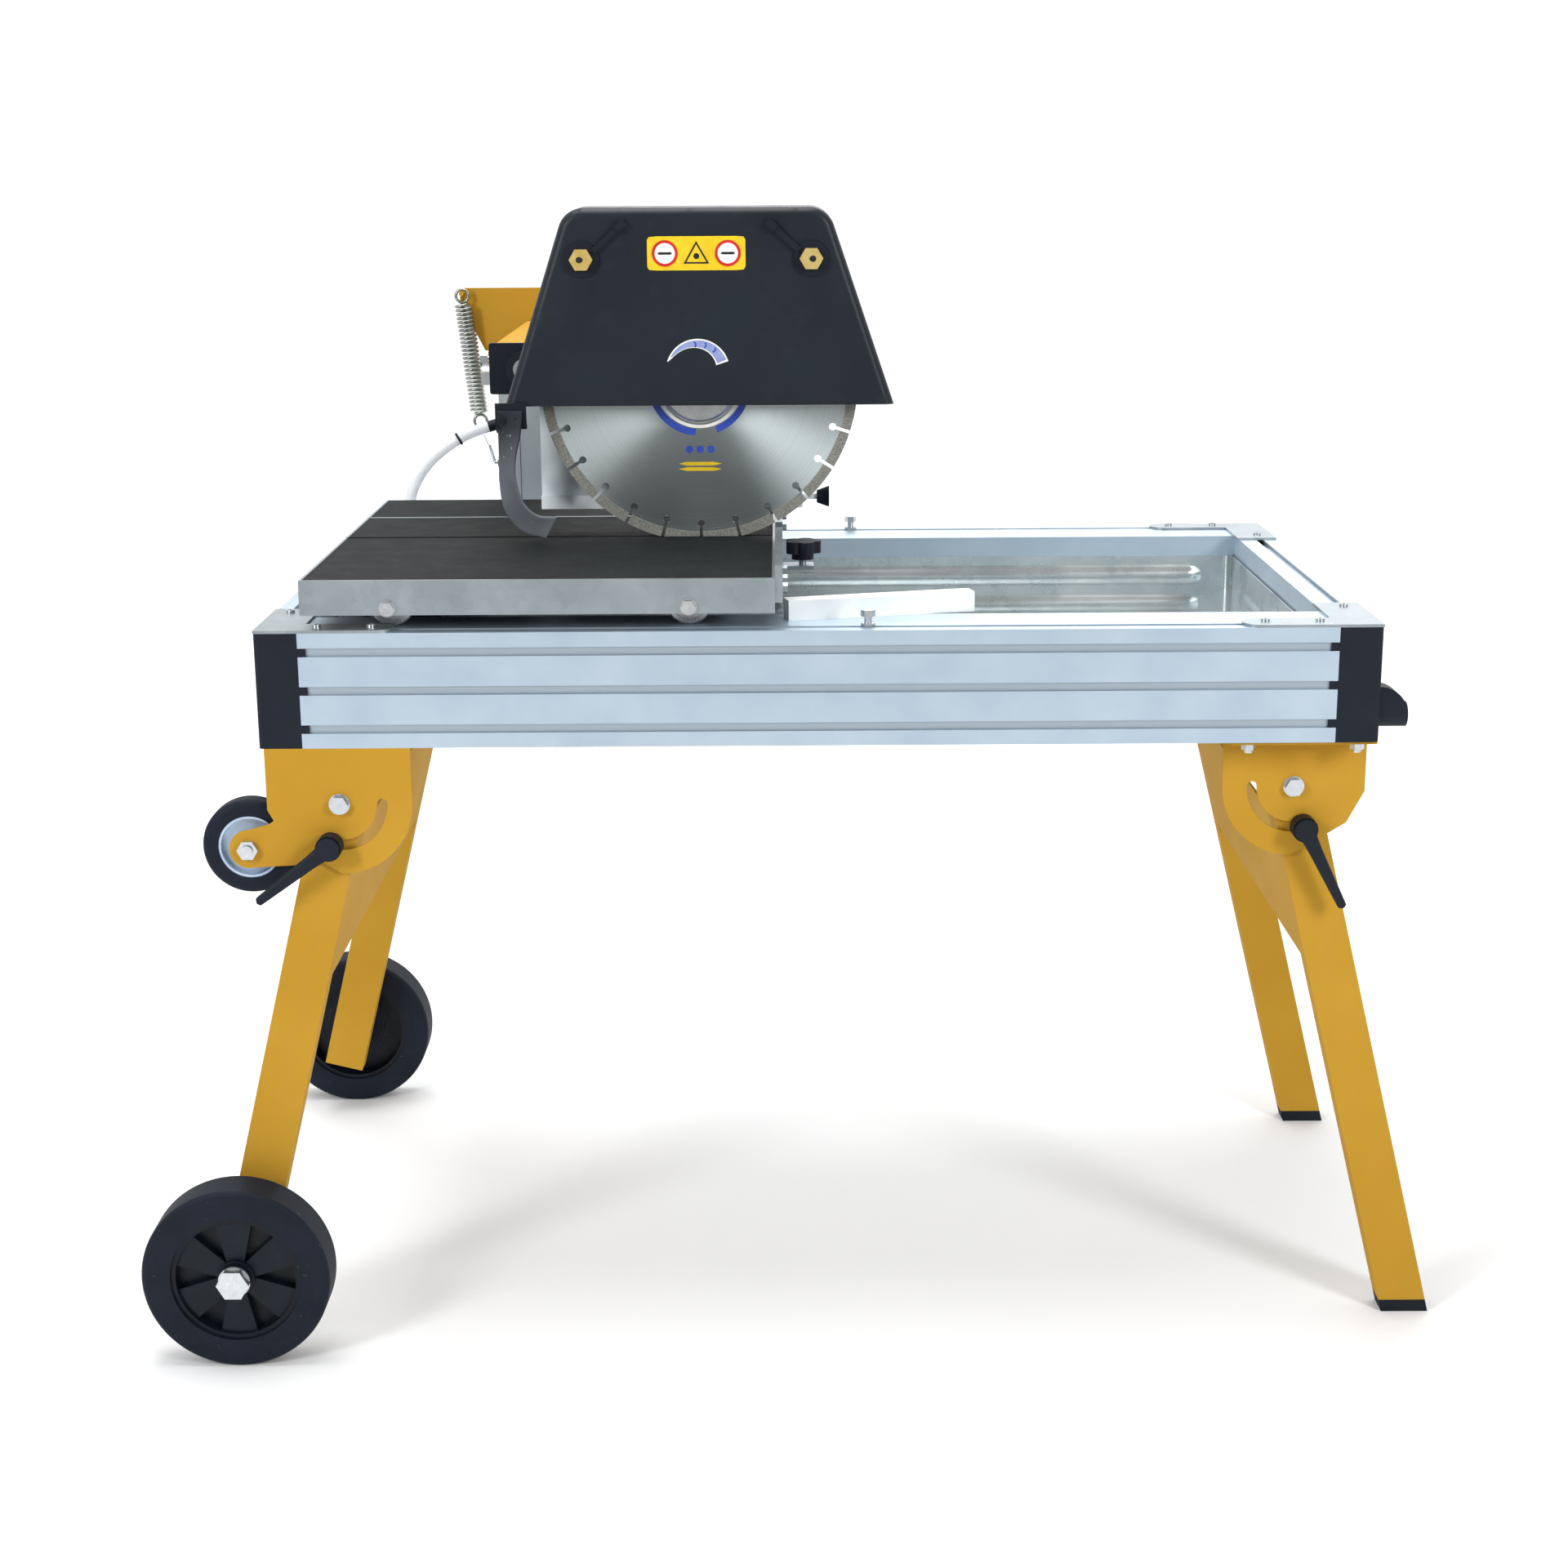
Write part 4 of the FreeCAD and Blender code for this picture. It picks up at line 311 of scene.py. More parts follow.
# %% Moulded plastic and rubber
def moulded(name, shades, roughness, grain_mm=1.2, relief_mm=0.06, **shader_values):
    """Injection-moulded plastic with an even texture and faint flow clouds."""
    material, tree, shader, place = new_material(name, **shader_values)
    tree.links.new(ramp(tree, noise(tree, place, 45, 4), [(0.3, shades[0]), (0.7, shades[1])]),
                   shader.inputs["Base Color"])
    grain = noise(tree, place, grain_mm, 2)
    rough = add(tree, "MapRange", {"Value": grain, "To Min": roughness - 0.05, "To Max": roughness + 0.08})
    tree.links.new(rough.outputs[0], shader.inputs["Roughness"])
    bump(tree, shader, grain, relief_mm)
    return material


def dusty_rubber(name, shades, dust, roughness=0.72, ribs_mm=0.0, darker_above=None):
    """Rubber with grey dust in patches, and straight ribs across Y if ribs_mm is given.

    If darker_above is a height Z, the colour turns to a darker grey over the 80 mm below that height, and
    stays dark above it.
    """
    material, tree, shader, place = new_material(name, Specular_IOR_Level=0.15)
    base = ramp(tree, noise(tree, place, 60, 6), [(0.3, shades[0]), (0.7, shades[1])])
    specks = ramp(tree, noise(tree, place, 7, 8), [(0.66, 0.0), (0.8, 1.0)])
    # darker towards the top: the colour blends to a darker grey over the 80 mm below the given height
    if darker_above:
        height = add(tree, "SeparateXYZ", {0: place}).outputs["Z"]
        top_darkening = add(tree, "MapRange", {"Value": height, "From Min": darker_above - 80 * MM,
                                      "From Max": darker_above}).outputs[0]
        base = add(tree, "Mix", {"Factor": top_darkening, "A": base, "B": linear("#262b31")},
                   data_type="RGBA").outputs[2]
    mixed = add(tree, "Mix", {"Factor": specks, "A": base, "B": linear(dust)}, data_type="RGBA")
    tree.links.new(mixed.outputs[2], shader.inputs["Base Color"])
    rough = add(tree, "MapRange", {"Value": noise(tree, place, 30, 5),
                                   "To Min": roughness - 0.12, "To Max": roughness + 0.12})
    tree.links.new(rough.outputs[0], shader.inputs["Roughness"])
    skin = bump(tree, shader, noise(tree, place, 1.5, 2), 0.08)
    if ribs_mm:
        waves = add(tree, "TexWave", {"Vector": place, "Scale": 0.314 / (ribs_mm * MM)},
                    wave_type="BANDS", bands_direction="Y", wave_profile="SIN")
        bump(tree, shader, waves.outputs["Fac"], 0.35, under=skin)
    return material


black_nylon = moulded("black_glass_filled_nylon", ("#060f1a", "#0b1522"), 0.5, Specular_IOR_Level=0.25)
green_cap = moulded("green_acetal", ("#1c7a3a", "#218543"), 0.3)
red_cap = moulded("red_acetal", ("#a81f16", "#b8261b"), 0.3)
milky_hose = moulded("milky_pvc_hose", ("#f0f4f9", "#f8fafc"), 0.6, 6, 0.05,
                     IOR=1.5, Transmission_Weight=0.5)
black_rubber = dusty_rubber("black_rubber", ("#15191f", "#1c2127"), "#4a4f55")
board_rubber = dusty_rubber("board_facing_rubber", ("#0c1012", "#14181a"), "#454949", 0.7, ribs_mm=4)
# the flap's colour turns darker towards its top, from 20 mm below the guard upward
flap_rubber = dusty_rubber("dusty_flap_rubber", ("#6c7178", "#7c8188"), "#9a9ea3", 0.6,
                           darker_above=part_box("blade_guard")[0].z - 20 * MM)
print("ribs repeat every 4 mm on", board_rubber.name)

# %% [markdown]
# ## Turned parts
# Brass, bronze and steel that came off a lathe carry rings round their axis. The
# blade is the showpiece: its core is ground in circles, so light spreads across the
# rings and gathers in bright fans that point at the spindle. That is anisotropy, and
# its tangent is the way the light spreads: straight out from the spindle, which is
# the point's offset from the centre without its part along the axis. Beyond the
# core the diamond segments are sintered grit: dark, rough and sandy.

# %% Centres read from the frame
def middle(node):
    """The middle of a node's box, as a Vector."""
    low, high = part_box(node)
    return (low + high) / 2


BLADE_MIDDLE = middle("blade")
BLADE_RADIUS = (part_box("blade")[1].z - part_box("blade")[0].z) / 2
SEGMENT_DEPTH = 12 * MM
print("blade %.0f mm across, centre %s" % (2000 * BLADE_RADIUS, tuple(round(v, 3) for v in BLADE_MIDDLE)))


# %% Round-axis coordinates
def about_axis(tree, place, centre):
    """Offset from a centre, and the distance from an axis along Y: sqrt(dx^2 + dz^2)."""
    offset = add(tree, "VectorMath", {0: place, 1: tuple(centre)}, operation="SUBTRACT").outputs[0]
    flat = add(tree, "VectorMath", {0: offset, 1: (1, 0, 1)}, operation="MULTIPLY").outputs[0]
    radius = add(tree, "VectorMath", {0: flat}, operation="LENGTH").outputs["Value"]
    return flat, radius


def blade_material():
    """Ground steel core whose light spreads outward, and a sintered diamond rim."""
    material, tree, shader, place = new_material("ground_blade_steel", Anisotropic=0.95)
    flat, radius = about_axis(tree, place, BLADE_MIDDLE)
    tree.links.new(add(tree, "VectorMath", {0: flat}, operation="NORMALIZE").outputs[0],
                   shader.inputs["Tangent"])
    rings = add(tree, "TexNoise", {"W": add(tree, "Math", {0: radius, 1: 1 / (0.8 * MM)},
                                           operation="MULTIPLY").outputs[0],
                                   "Scale": 1.0, "Detail": 3}, noise_dimensions="1D").outputs[0]
    rim = add(tree, "MapRange", {"Value": radius, "From Min": BLADE_RADIUS - SEGMENT_DEPTH,
                                 "From Max": BLADE_RADIUS - SEGMENT_DEPTH + 1 * MM}).outputs[0]
    core = ramp(tree, rings, [(0.3, "#a4adad"), (0.7, "#bfc8c8")])
    grit = ramp(tree, noise(tree, place, 1.2, 4), [(0.35, "#6f726f"), (0.65, "#a4a39a")])
    both = add(tree, "Mix", {"Factor": rim, "A": core, "B": grit}, data_type="RGBA").outputs[2]
    tree.links.new(both, shader.inputs["Base Color"])
    metal = add(tree, "MapRange", {"Value": rim, "To Min": 0.95, "To Max": 0.35}).outputs[0]
    tree.links.new(metal, shader.inputs["Metallic"])
    rough = add(tree, "Math", {0: add(tree, "MapRange", {"Value": rings, "To Min": 0.31, "To Max": 0.39}
                                      ).outputs[0],
                               1: add(tree, "MapRange", {"Value": rim, "To Max": 0.25}).outputs[0]},
                operation="ADD").outputs[0]
    tree.links.new(rough, shader.inputs["Roughness"])
    relief = add(tree, "Math", {0: add(tree, "Math", {0: noise(tree, place, 0.9, 3), 1: rim},
                                       operation="MULTIPLY").outputs[0],
                                1: add(tree, "Math", {0: rings, 1: 0.06}, operation="MULTIPLY").outputs[0]},
                 operation="ADD").outputs[0]
    bump(tree, shader, relief, 0.35)
    return material


def turned(name, shades, roughness, metallic=1.0):
    """Turned metal with a faint cloud of finger marks and tool lines across it."""
    material, tree, shader, place = new_material(name, Metallic=metallic)
    lines = noise(tree, place, 0.7, 2)
    tree.links.new(ramp(tree, noise(tree, place, 14, 4), [(0.3, shades[0]), (0.7, shades[1])]),
                   shader.inputs["Base Color"])
    rough = add(tree, "MapRange", {"Value": lines, "To Min": roughness - 0.05, "To Max": roughness + 0.1})
    tree.links.new(rough.outputs[0], shader.inputs["Roughness"])
    bump(tree, shader, lines, 0.02)
    return material


blade_steel = blade_material()
bright_steel = turned("turned_steel", ("#b9bcbe", "#cfd1d2"), 0.26)
spring_steel = turned("zinc_plated_spring_wire", ("#8f938d", "#a9aca6"), 0.3)
brass = turned("machined_brass", ("#e6c368", "#f4db92"), 0.3, 0.75)
bronze = turned("sintered_bronze", ("#8f6a3c", "#a37a48"), 0.5)


def wheel_material(name, node, tyre_inside, inner_shades, inner_metal):
    """Rubber tyre outside tyre_inside, and the hub or pressed rim within it."""
    material, tree, shader, place = new_material(name, Specular_IOR_Level=0.2)
    flat, radius = about_axis(tree, place, middle(node))
    tyre = add(tree, "MapRange", {"Value": radius, "From Min": tyre_inside - 0.4 * MM,
                                  "From Max": tyre_inside + 0.1 * MM}).outputs[0]
    clouds = noise(tree, place, 35, 5)
    specks = ramp(tree, noise(tree, place, 6, 8), [(0.7, 0.0), (0.78, 1.0)])
    rubber = ramp(tree, clouds, [(0.3, "#0a121e"), (0.7, "#111a28")])
    dusty = add(tree, "Mix", {"Factor": specks, "A": rubber, "B": linear("#5b6066")},
                data_type="RGBA").outputs[2]
    hub = ramp(tree, clouds, [(0.3, inner_shades[0]), (0.7, inner_shades[1])])
    both = add(tree, "Mix", {"Factor": tyre, "A": hub, "B": dusty}, data_type="RGBA").outputs[2]
    tree.links.new(both, shader.inputs["Base Color"])
    metal = add(tree, "MapRange", {"Value": tyre, "To Min": inner_metal, "To Max": 0.0}).outputs[0]
    tree.links.new(metal, shader.inputs["Metallic"])
    rough = add(tree, "MapRange", {"Value": tyre, "To Min": 0.38, "To Max": 0.62}).outputs[0]
    tree.links.new(rough, shader.inputs["Roughness"])
    rings = add(tree, "TexNoise", {"W": add(tree, "Math", {0: radius, 1: 1 / (2.5 * MM)},
                                           operation="MULTIPLY").outputs[0],
                                   "Scale": 1.0, "Detail": 2}, noise_dimensions="1D").outputs[0]
    bump(tree, shader, rings, 0.25)
    return material


HUB_RADIUS, RIM_RADIUS = 69 * MM, 33 * MM
wheels = {node: wheel_material("rubber_tyre_nylon_hub_" + node[-5:].strip("_"), node, HUB_RADIUS,
                               ("#0a1018", "#101823"), 0.0) for node in ("wheel_front", "wheel_rear")}
wheels.update({node: wheel_material("rubber_tyre_zinc_rim_" + node[-5:].strip("_"), node, RIM_RADIUS,
                                    ("#aec2da", "#c3d4e6"), 0.4)
               for node in ("small_wheel_front", "small_wheel_rear")})
print("blade core to", round(1000 * (BLADE_RADIUS - SEGMENT_DEPTH)), "mm, segments beyond")

# %% [markdown]
# ## Give every CAD part its finish
# Each part of the frame keeps its own mesh and takes one material. The table below
# reads as a parts list, and a part that is not in it stops the script, so nothing is
# left bare.

# %% Parts list
FINISHES = {
    anodised_x: "long_rails roller_tracks",
    anodised_y: "end_rails",
    anodised_z: "column",
    bare_bar: "guide_bar",
    splash_sheet: "splash_plate",
    galvanised: "corner_plates cart_frame cart_fence",
    tray_zinc: "water_tray",
    zinc_bolts: "frame_screws bracket_bolts column_bolts roller_axles left_leg_bolts right_leg_studs",
    yellow_coat: "brackets left_legs right_legs beam lever_plate",
    black_coat: "blade_guard swing_arm",
    motor_enamel: "motor_body",
    black_nylon: "corner_posts lifting_handle column_caps guard_clips fan_cover switch_box cord_inlet"
                 " cart_knob splash_knob water_pump water_fittings clamp_lever_left_front"
                 " clamp_lever_left_rear clamp_lever_right_front clamp_lever_right_rear",
    green_cap: "start_button",
    red_cap: "stop_button",
    milky_hose: "water_hose",
    flap_rubber: "splash_flap",
    black_rubber: "leg_feet drain_plug",
    board_rubber: "cart_boards",
    blade_steel: "blade",
    bright_steel: "blade_spindle pivot_shaft roller_front_left roller_front_right roller_rear_left"
                  " roller_rear_right",
    spring_steel: "balance_spring",
    brass: "guard_fittings",
    bronze: "beam_bushes",
    **{material: node for node, material in wheels.items()},
}


def dress(piece, material):
    """Replace whatever a mesh came with by one material."""
    piece.data.materials.clear()
    piece.data.materials.append(material)


dressed = set()
for material, names in FINISHES.items():
    for name in names.split():
        dress(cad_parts[name], material)
        dressed.add(name)
missing = set(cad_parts) - dressed
assert not missing, "no finish for %s" % sorted(missing)
print(len(dressed), "parts dressed in", len(FINISHES), "finishes")

# %% [markdown]
# ## Coil spring
# A tension spring carries the head's weight. Its wire is drawn thick and wound close,
# so at this size the eye sees a ladder of bright wire and dark gaps. A helix is one
# formula, so the tube round it is a plain grid. The coils narrow to nothing at both
# ends, where a loop of wire stands for each hook. On the saw its top goes down with
# the lever when the head is raised; here the spring is one fixed mesh, attached to neither.


# %% Mesh from a grid of points
def grid_mesh(name, points, close_u=False, close_v=False, flip=False):
    """A piece from an array of points (u, v, 3): each cell of the grid becomes a quad."""
    rows, columns = points.shape[:2]
    index = np.arange(rows * columns).reshape(rows, columns)
    if close_u:
        index = np.concatenate([index, index[:1]], axis=0)
    if close_v:
        index = np.concatenate([index, index[:, :1]], axis=1)
    quads = np.stack([index[:-1, :-1], index[1:, :-1], index[1:, 1:], index[:-1, 1:]], axis=-1)
    quads = quads.reshape(-1, 4)
    if flip:
        quads = quads[:, ::-1]
    mesh = bpy.data.meshes.new(name)
    mesh.from_pydata(points.reshape(-1, 3).tolist(), [], quads.tolist())
    mesh.polygons.foreach_set("use_smooth", np.ones(len(mesh.polygons), dtype=bool))
    piece = bpy.data.objects.new(name, mesh)
    bpy.context.scene.collection.objects.link(piece)
    return piece


def tube_points(path, radius, side_way, sides=10):
    """A tube: at each path point a circle in the plane of side_way and tangent x side_way."""
    tangent = np.gradient(path, axis=0)
    tangent /= np.linalg.norm(tangent, axis=1, keepdims=True)
    second = np.cross(tangent, side_way)
    second /= np.linalg.norm(second, axis=1, keepdims=True)
    first = np.cross(second, tangent)
    angle = np.linspace(0, 2 * pi, sides, endpoint=False)[None, :, None]
    return path[:, None] + radius * (np.cos(angle) * first[:, None] + np.sin(angle) * second[:, None])


def join(name, pieces):
    """Several pieces joined into the first, which takes this name."""
    bpy.ops.object.select_all(action="DESELECT")
    for piece in pieces:
        piece.select_set(True)
    bpy.context.view_layer.objects.active = pieces[0]
    bpy.ops.object.join()
    pieces[0].name = name
    return pieces[0]


# %% Wind the spring
SPRING_TURNS, COIL_RADIUS, WIRE = 28, 9.6 * MM, 1.8 * MM
LOOP_RADIUS, LOOP_RISE = 8 * MM, 9 * MM
spring_middle = middle("balance_spring")
half_run = Vector((-8, 0, 70)) * MM
spring_low, spring_top = spring_middle - half_run, spring_middle + half_run


def wind_spring():
    """c(s) = low + s run + R (cos 2 pi n s, sin 2 pi n s) across the run; R fades at both ends."""
    s = np.linspace(0, 1, SPRING_TURNS * 24)[:, None]
    run = np.array(spring_top - spring_low)
    across = np.cross(run / np.linalg.norm(run), (0, 1, 0))
    narrow = COIL_RADIUS * np.clip(np.minimum(s, 1 - s) / 0.02, 0.05, 1)
    turn = 2 * pi * SPRING_TURNS * s
    spoke = np.cos(turn) * np.array((0, 1, 0)) + np.sin(turn) * across
    path = np.array(spring_low) + s * run + narrow * spoke
    return grid_mesh("spring_coil", tube_points(path, WIRE, spoke), close_v=True)


def spring_loop(name, centre):
    """A torus of wire in the XZ plane, for the hook at one end."""
    turn = np.linspace(0, 2 * pi, 40, endpoint=False)[:, None]
    outward = np.hstack([np.cos(turn), 0 * turn, np.sin(turn)])
    angle = np.linspace(0, 2 * pi, 10, endpoint=False)[None, :, None]
    ring = LOOP_RADIUS + WIRE * np.cos(angle)
    points = np.array(centre) + ring * outward[:, None] + WIRE * np.sin(angle) * np.array((0, 1, 0))
    return grid_mesh(name, points, close_u=True, close_v=True)


beyond = half_run.normalized() * LOOP_RISE
spring = join("coil_spring", [wind_spring(), spring_loop("loop_low", spring_low - beyond),
                              spring_loop("loop_top", spring_top + beyond)])
dress(spring, spring_steel)
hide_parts("balance_spring")
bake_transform(spring)
print("spring:", len(spring.data.polygons), "faces,", SPRING_TURNS, "turns")

# %% [markdown]
# ## Water hose
# A stiff milky hose brings water from the pump's pipe to the column. It is short, so
# it keeps its factory curve: straight up out of the pipe, then over to the left side
# of the column. A curve with a round bevel is the honest model of a hose. The black
# cable tie sits a little past three quarters of the way, square to the hose.

# %% Lay the hose
HOSE_RADIUS = 7 * MM
HOSE_ROUTE = [(-0.485849, 0.290, 0.800), (-0.483849, 0.291, 0.829), (-0.473849, 0.294, 0.857),
              (-0.455849, 0.299, 0.881), (-0.431849, 0.305, 0.900), (-0.404849, 0.310, 0.915),
              (-0.382849, 0.313, 0.921)]


def hose_curve(name, bevel):
    """The route as one open NURBS spline of order 3 that reaches both end points."""
    curve = bpy.data.curves.new(name, "CURVE")
    curve.dimensions = "3D"
    curve.bevel_depth = bevel
    curve.bevel_resolution = 5
    curve.resolution_u = 12
    spline = curve.splines.new("NURBS")
    spline.points.add(len(HOSE_ROUTE) - 1)
    spline.points.foreach_set("co", np.hstack([HOSE_ROUTE, np.ones((len(HOSE_ROUTE), 1))]).ravel())
    spline.order_u = 3
    spline.use_endpoint_u = True
    piece = bpy.data.objects.new(name, curve)
    bpy.context.scene.collection.objects.link(piece)
    return piece


def read_path(piece):
    """Points along a curve without its bevel, as Blender evaluates it."""
    mesh = bpy.data.meshes.new_from_object(piece)
    points = np.empty(len(mesh.vertices) * 3)
    mesh.vertices.foreach_get("co", points)
    bpy.data.meshes.remove(mesh)
    return points.reshape(-1, 3)


hose = hose_curve("water_hose_line", 0)
line = read_path(hose)
hose.data.bevel_depth = HOSE_RADIUS
hose.data.use_fill_caps = True
hose.data.materials.append(milky_hose)

tie_at = int(0.78 * len(line))
along = line[tie_at + 1] - line[tie_at - 1]
along /= np.linalg.norm(along)
sideways = np.cross(along, (0, 0, 1))
sideways /= np.linalg.norm(sideways)
turn = np.linspace(0, 2 * pi, 36, endpoint=False)[:, None]
loop = line[tie_at] + (HOSE_RADIUS + 0.7 * MM) * (np.cos(turn) * sideways
                                                  + np.sin(turn) * np.cross(along, sideways))
band = np.array([(-1.4, -0.7), (1.4, -0.7), (1.4, 0.7), (-1.4, 0.7)]) * MM
away = (loop - line[tie_at]) / np.linalg.norm(loop - line[tie_at], axis=1, keepdims=True)
tie = grid_mesh("hose_tie", loop[:, None] + band[None, :, :1] * along + band[None, :, 1:] * away[:, None],
                close_u=True, close_v=True)
dress(tie, black_nylon)
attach(tie, "frame")
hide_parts("water_hose")
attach(hose, "frame")

# %% [markdown]
# ## Splash flap
# A strip of rubber hangs from the guard's left corner and wipes the tile. It has
# taken a set: edge-on at the clamp, then turning its face to the front as it curls.
# A ruled grid between a few stations would show its facets, so the stations are
# joined by a smooth interpolation and the strip gets its thickness from Solidify.


# %% Splash flap
def smooth_through(stations, count):
    """Catmull-Rom spline through rows of numbers: each span blends four neighbours."""
    rows = np.array(stations, dtype=float)
    padded = np.vstack([2 * rows[0] - rows[1], rows, 2 * rows[-1] - rows[-2]])
    at = np.linspace(0, len(rows) - 1, count)
    span = np.minimum(at.astype(int), len(rows) - 2)
    t = (at - span)[:, None]
    a, b, c, d = (padded[span + k] for k in range(4))
    return 0.5 * (2 * b + (c - a) * t + (2 * a - 5 * b + 4 * c - d) * t ** 2
                  + (3 * b - a - 3 * c + d) * t ** 3)


guard_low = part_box("blade_guard")[0]
FLAP_WIDE, FLAP_THICK = 28 * MM, 3.3 * MM
FLAP_STATIONS = [(6, 0, -4, 0, 90), (5, 0, -29, 0, 62), (2, 0, -57, -3, 42), (2, 0, -82, -8, 44),
                 (8, 2, -109, -22, 58), (24, 6, -127.5, -42, 68), (47, 12, -133.5, -62, 74)]
rows = smooth_through(FLAP_STATIONS, 60)
spine = rows[:, :3] * MM + np.array((guard_low.x, guard_low.y - 8 * MM, guard_low.z))
lean, twist = np.radians(rows[:, 3]), np.radians(rows[:, 4])
width_way = np.stack([-np.sin(twist) * np.cos(lean), np.cos(twist), np.sin(twist) * np.sin(lean)], axis=1)
across = np.linspace(-0.5, 0.5, 9)[None, :, None] * FLAP_WIDE
flap = grid_mesh("rubber_flap", spine[:, None] + across * width_way[:, None])
shell = flap.modifiers.new("thickness", "SOLIDIFY")
shell.thickness = FLAP_THICK
shell.offset = 0
edge = flap.modifiers.new("edge", "BEVEL")
edge.width = 0.5 * MM
edge.segments = 2
dress(flap, flap_rubber)
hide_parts("splash_flap")
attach(flap, "head")
flap_length = np.linalg.norm(np.diff(spine, axis=0), axis=1).sum()
print("flap: %.0f x %.0f mm strip" % (FLAP_WIDE / MM, flap_length / MM))

# %% [markdown]
# ## Decals
# The guard carries a yellow plate with three safety symbols and a white arrow that
# shows which way the blade turns. The blade has a printed ring round its flange. The
# symbols here are only rings and a triangle. Each decal is a film a fifth of a
# millimetre proud of its sheet, made of flat rings, so its edge stays crisp. Two
# black discs on the brass nuts' solid faces are painted shade, for the dark inside of their bores.


# %% Printed films
def print_film(name, shade):
    """Screen-printed vinyl: flat ink with a little mottle and a satin skin."""
    material, tree, shader, place = new_material(name, Roughness=0.42)
    dark = "#" + "".join("%02x" % max(int(shade[k:k + 2], 16) - 14, 0) for k in (1, 3, 5))
    tree.links.new(ramp(tree, noise(tree, place, 9, 5), [(0.35, dark), (0.65, shade)]),
                   shader.inputs["Base Color"])
    bump(tree, shader, noise(tree, place, 1.0, 2), 0.02)
    return material


inks = {shade: print_film("vinyl_" + word, shade) for word, shade in
        (("yellow", "#e9c614"), ("white", "#f3f3ee"), ("red", "#cf1f22"), ("black", "#16181b"),
         ("blue", "#2f4fb4"), ("lavender", "#8f9ccc"))}


def flat_ring(name, centre, inner, outer, shade, sides=48, start=0.0, sweep=2 * pi, shape=1.0, squash=1.0):
    """A flat band facing -Y: points centre + r (cos a, sin a), r from inner to outer.

    With shape above 1 the outline is a superellipse, so a rounded rectangle: its radius is
    (|cos a / squash| ** (2 shape) + |sin a| ** (2 shape)) ** (-1 / (2 shape)) times r.
    """
    whole = sweep > 6.28
    angle = start + np.linspace(0, sweep, sides, endpoint=not whole)
    power = 2 * shape
    stretch = (np.abs(np.cos(angle) / squash) ** power + np.abs(np.sin(angle)) ** power) ** (-1 / power)
    radius = np.array((inner, outer))[:, None] * stretch
    x = centre[0] + radius * np.cos(angle)
    z = centre[2] + radius * np.sin(angle)
    piece = grid_mesh(name, np.stack([x, np.full_like(x, centre[1]), z], axis=-1), close_v=whole, flip=True)
    piece.data.polygons.foreach_set("use_smooth", np.zeros(len(piece.data.polygons), dtype=bool))
    dress(piece, inks[shade])
    return piece


FILM = 0.2 * MM
POINT = 0.02 * MM
NUT_BORE_SHADE = 3.4 * MM
YELLOW, WHITE, RED, BLACK, BLUE, LAVENDER = inks
guard_face = guard_low.y - FILM
label_at = (BLADE_MIDDLE.x, guard_face, BLADE_MIDDLE.z + 143 * MM)
half = 18 * MM
label = [flat_ring("label_plate", label_at, POINT, half, YELLOW, 96, shape=9, squash=106 / 36)]
for side in (-1, 1):
    spot = (label_at[0] + side * 34 * MM, guard_face - FILM, label_at[2])
    label.append(flat_ring("label_disc", spot, POINT, 11 * MM, WHITE))
    spot = (spot[0], spot[1] - FILM, spot[2])
    label.append(flat_ring("label_ring", spot, 11 * MM, 14 * MM, RED))
    spot = (spot[0], spot[1] - FILM, spot[2])
    label.append(flat_ring("label_bar", spot, POINT, 1.3 * MM, BLACK, 32, start=0.0, shape=6, squash=6))
spot = (label_at[0], guard_face - FILM, label_at[2] - 3 * MM)
label.append(flat_ring("label_triangle", spot, 12.5 * MM, 16 * MM, BLACK, 3, start=pi / 2))
label.append(flat_ring("label_dot", spot, POINT, 3.2 * MM, BLACK, 24))
nut_low, nut_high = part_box("guard_fittings")
nut_radius = (nut_high.z - nut_low.z) / 2
# black discs on the nuts' solid faces: painted shade standing for the dark inside of their bores
for x in (nut_low.x + nut_radius, nut_high.x - nut_radius):
    label.append(flat_ring("nut_bore_shade", (x, nut_low.y - FILM, (nut_low.z + nut_high.z) / 2),
                           POINT, NUT_BORE_SHADE, BLACK, 24))
guard_label = join("guard_label", label)
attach(guard_label, "head")


# %% Arrow and blade print
def crescent(name, centre, outer, wide, start, end, y, shade):
    """A band along an arc that swells: width = wide times the square root of the way along."""
    way = np.linspace(0, 1, 40)
    angle = start + (end - start) * way
    radius = outer - np.stack([0 * way, wide * np.sqrt(np.clip(way, 0.004, 1))])
    x = centre[0] + radius * np.cos(angle)
    z = centre[1] + radius * np.sin(angle)
    piece = grid_mesh(name, np.stack([x, np.full_like(x, y), z], axis=-1))
    piece.data.polygons.foreach_set("use_smooth", np.zeros(len(piece.data.polygons), dtype=bool))
    dress(piece, inks[shade])
    return piece


arc_at = (BLADE_MIDDLE.x, BLADE_MIDDLE.z + 17 * MM)
arrow = [crescent("arrow_white", arc_at, 35 * MM, 14 * MM, radians(162), radians(18), guard_face, WHITE),
         crescent("arrow_fill", arc_at, 33.4 * MM, 10.6 * MM, radians(152), radians(22),
                  guard_face - FILM, LAVENDER)]
for angle in (100, 78, 56):
    heart = radians(angle)
    spot = (arc_at[0] + 29 * MM * np.cos(heart), guard_face - 2 * FILM, arc_at[1] + 29 * MM * np.sin(heart))
    arrow.append(flat_ring("arrow_chevron", spot, 2.2 * MM, 4.0 * MM, BLUE, 10, start=heart - 2.6, sweep=2.1))
turn_arrow = join("turn_arrow", arrow)
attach(turn_arrow, "head")

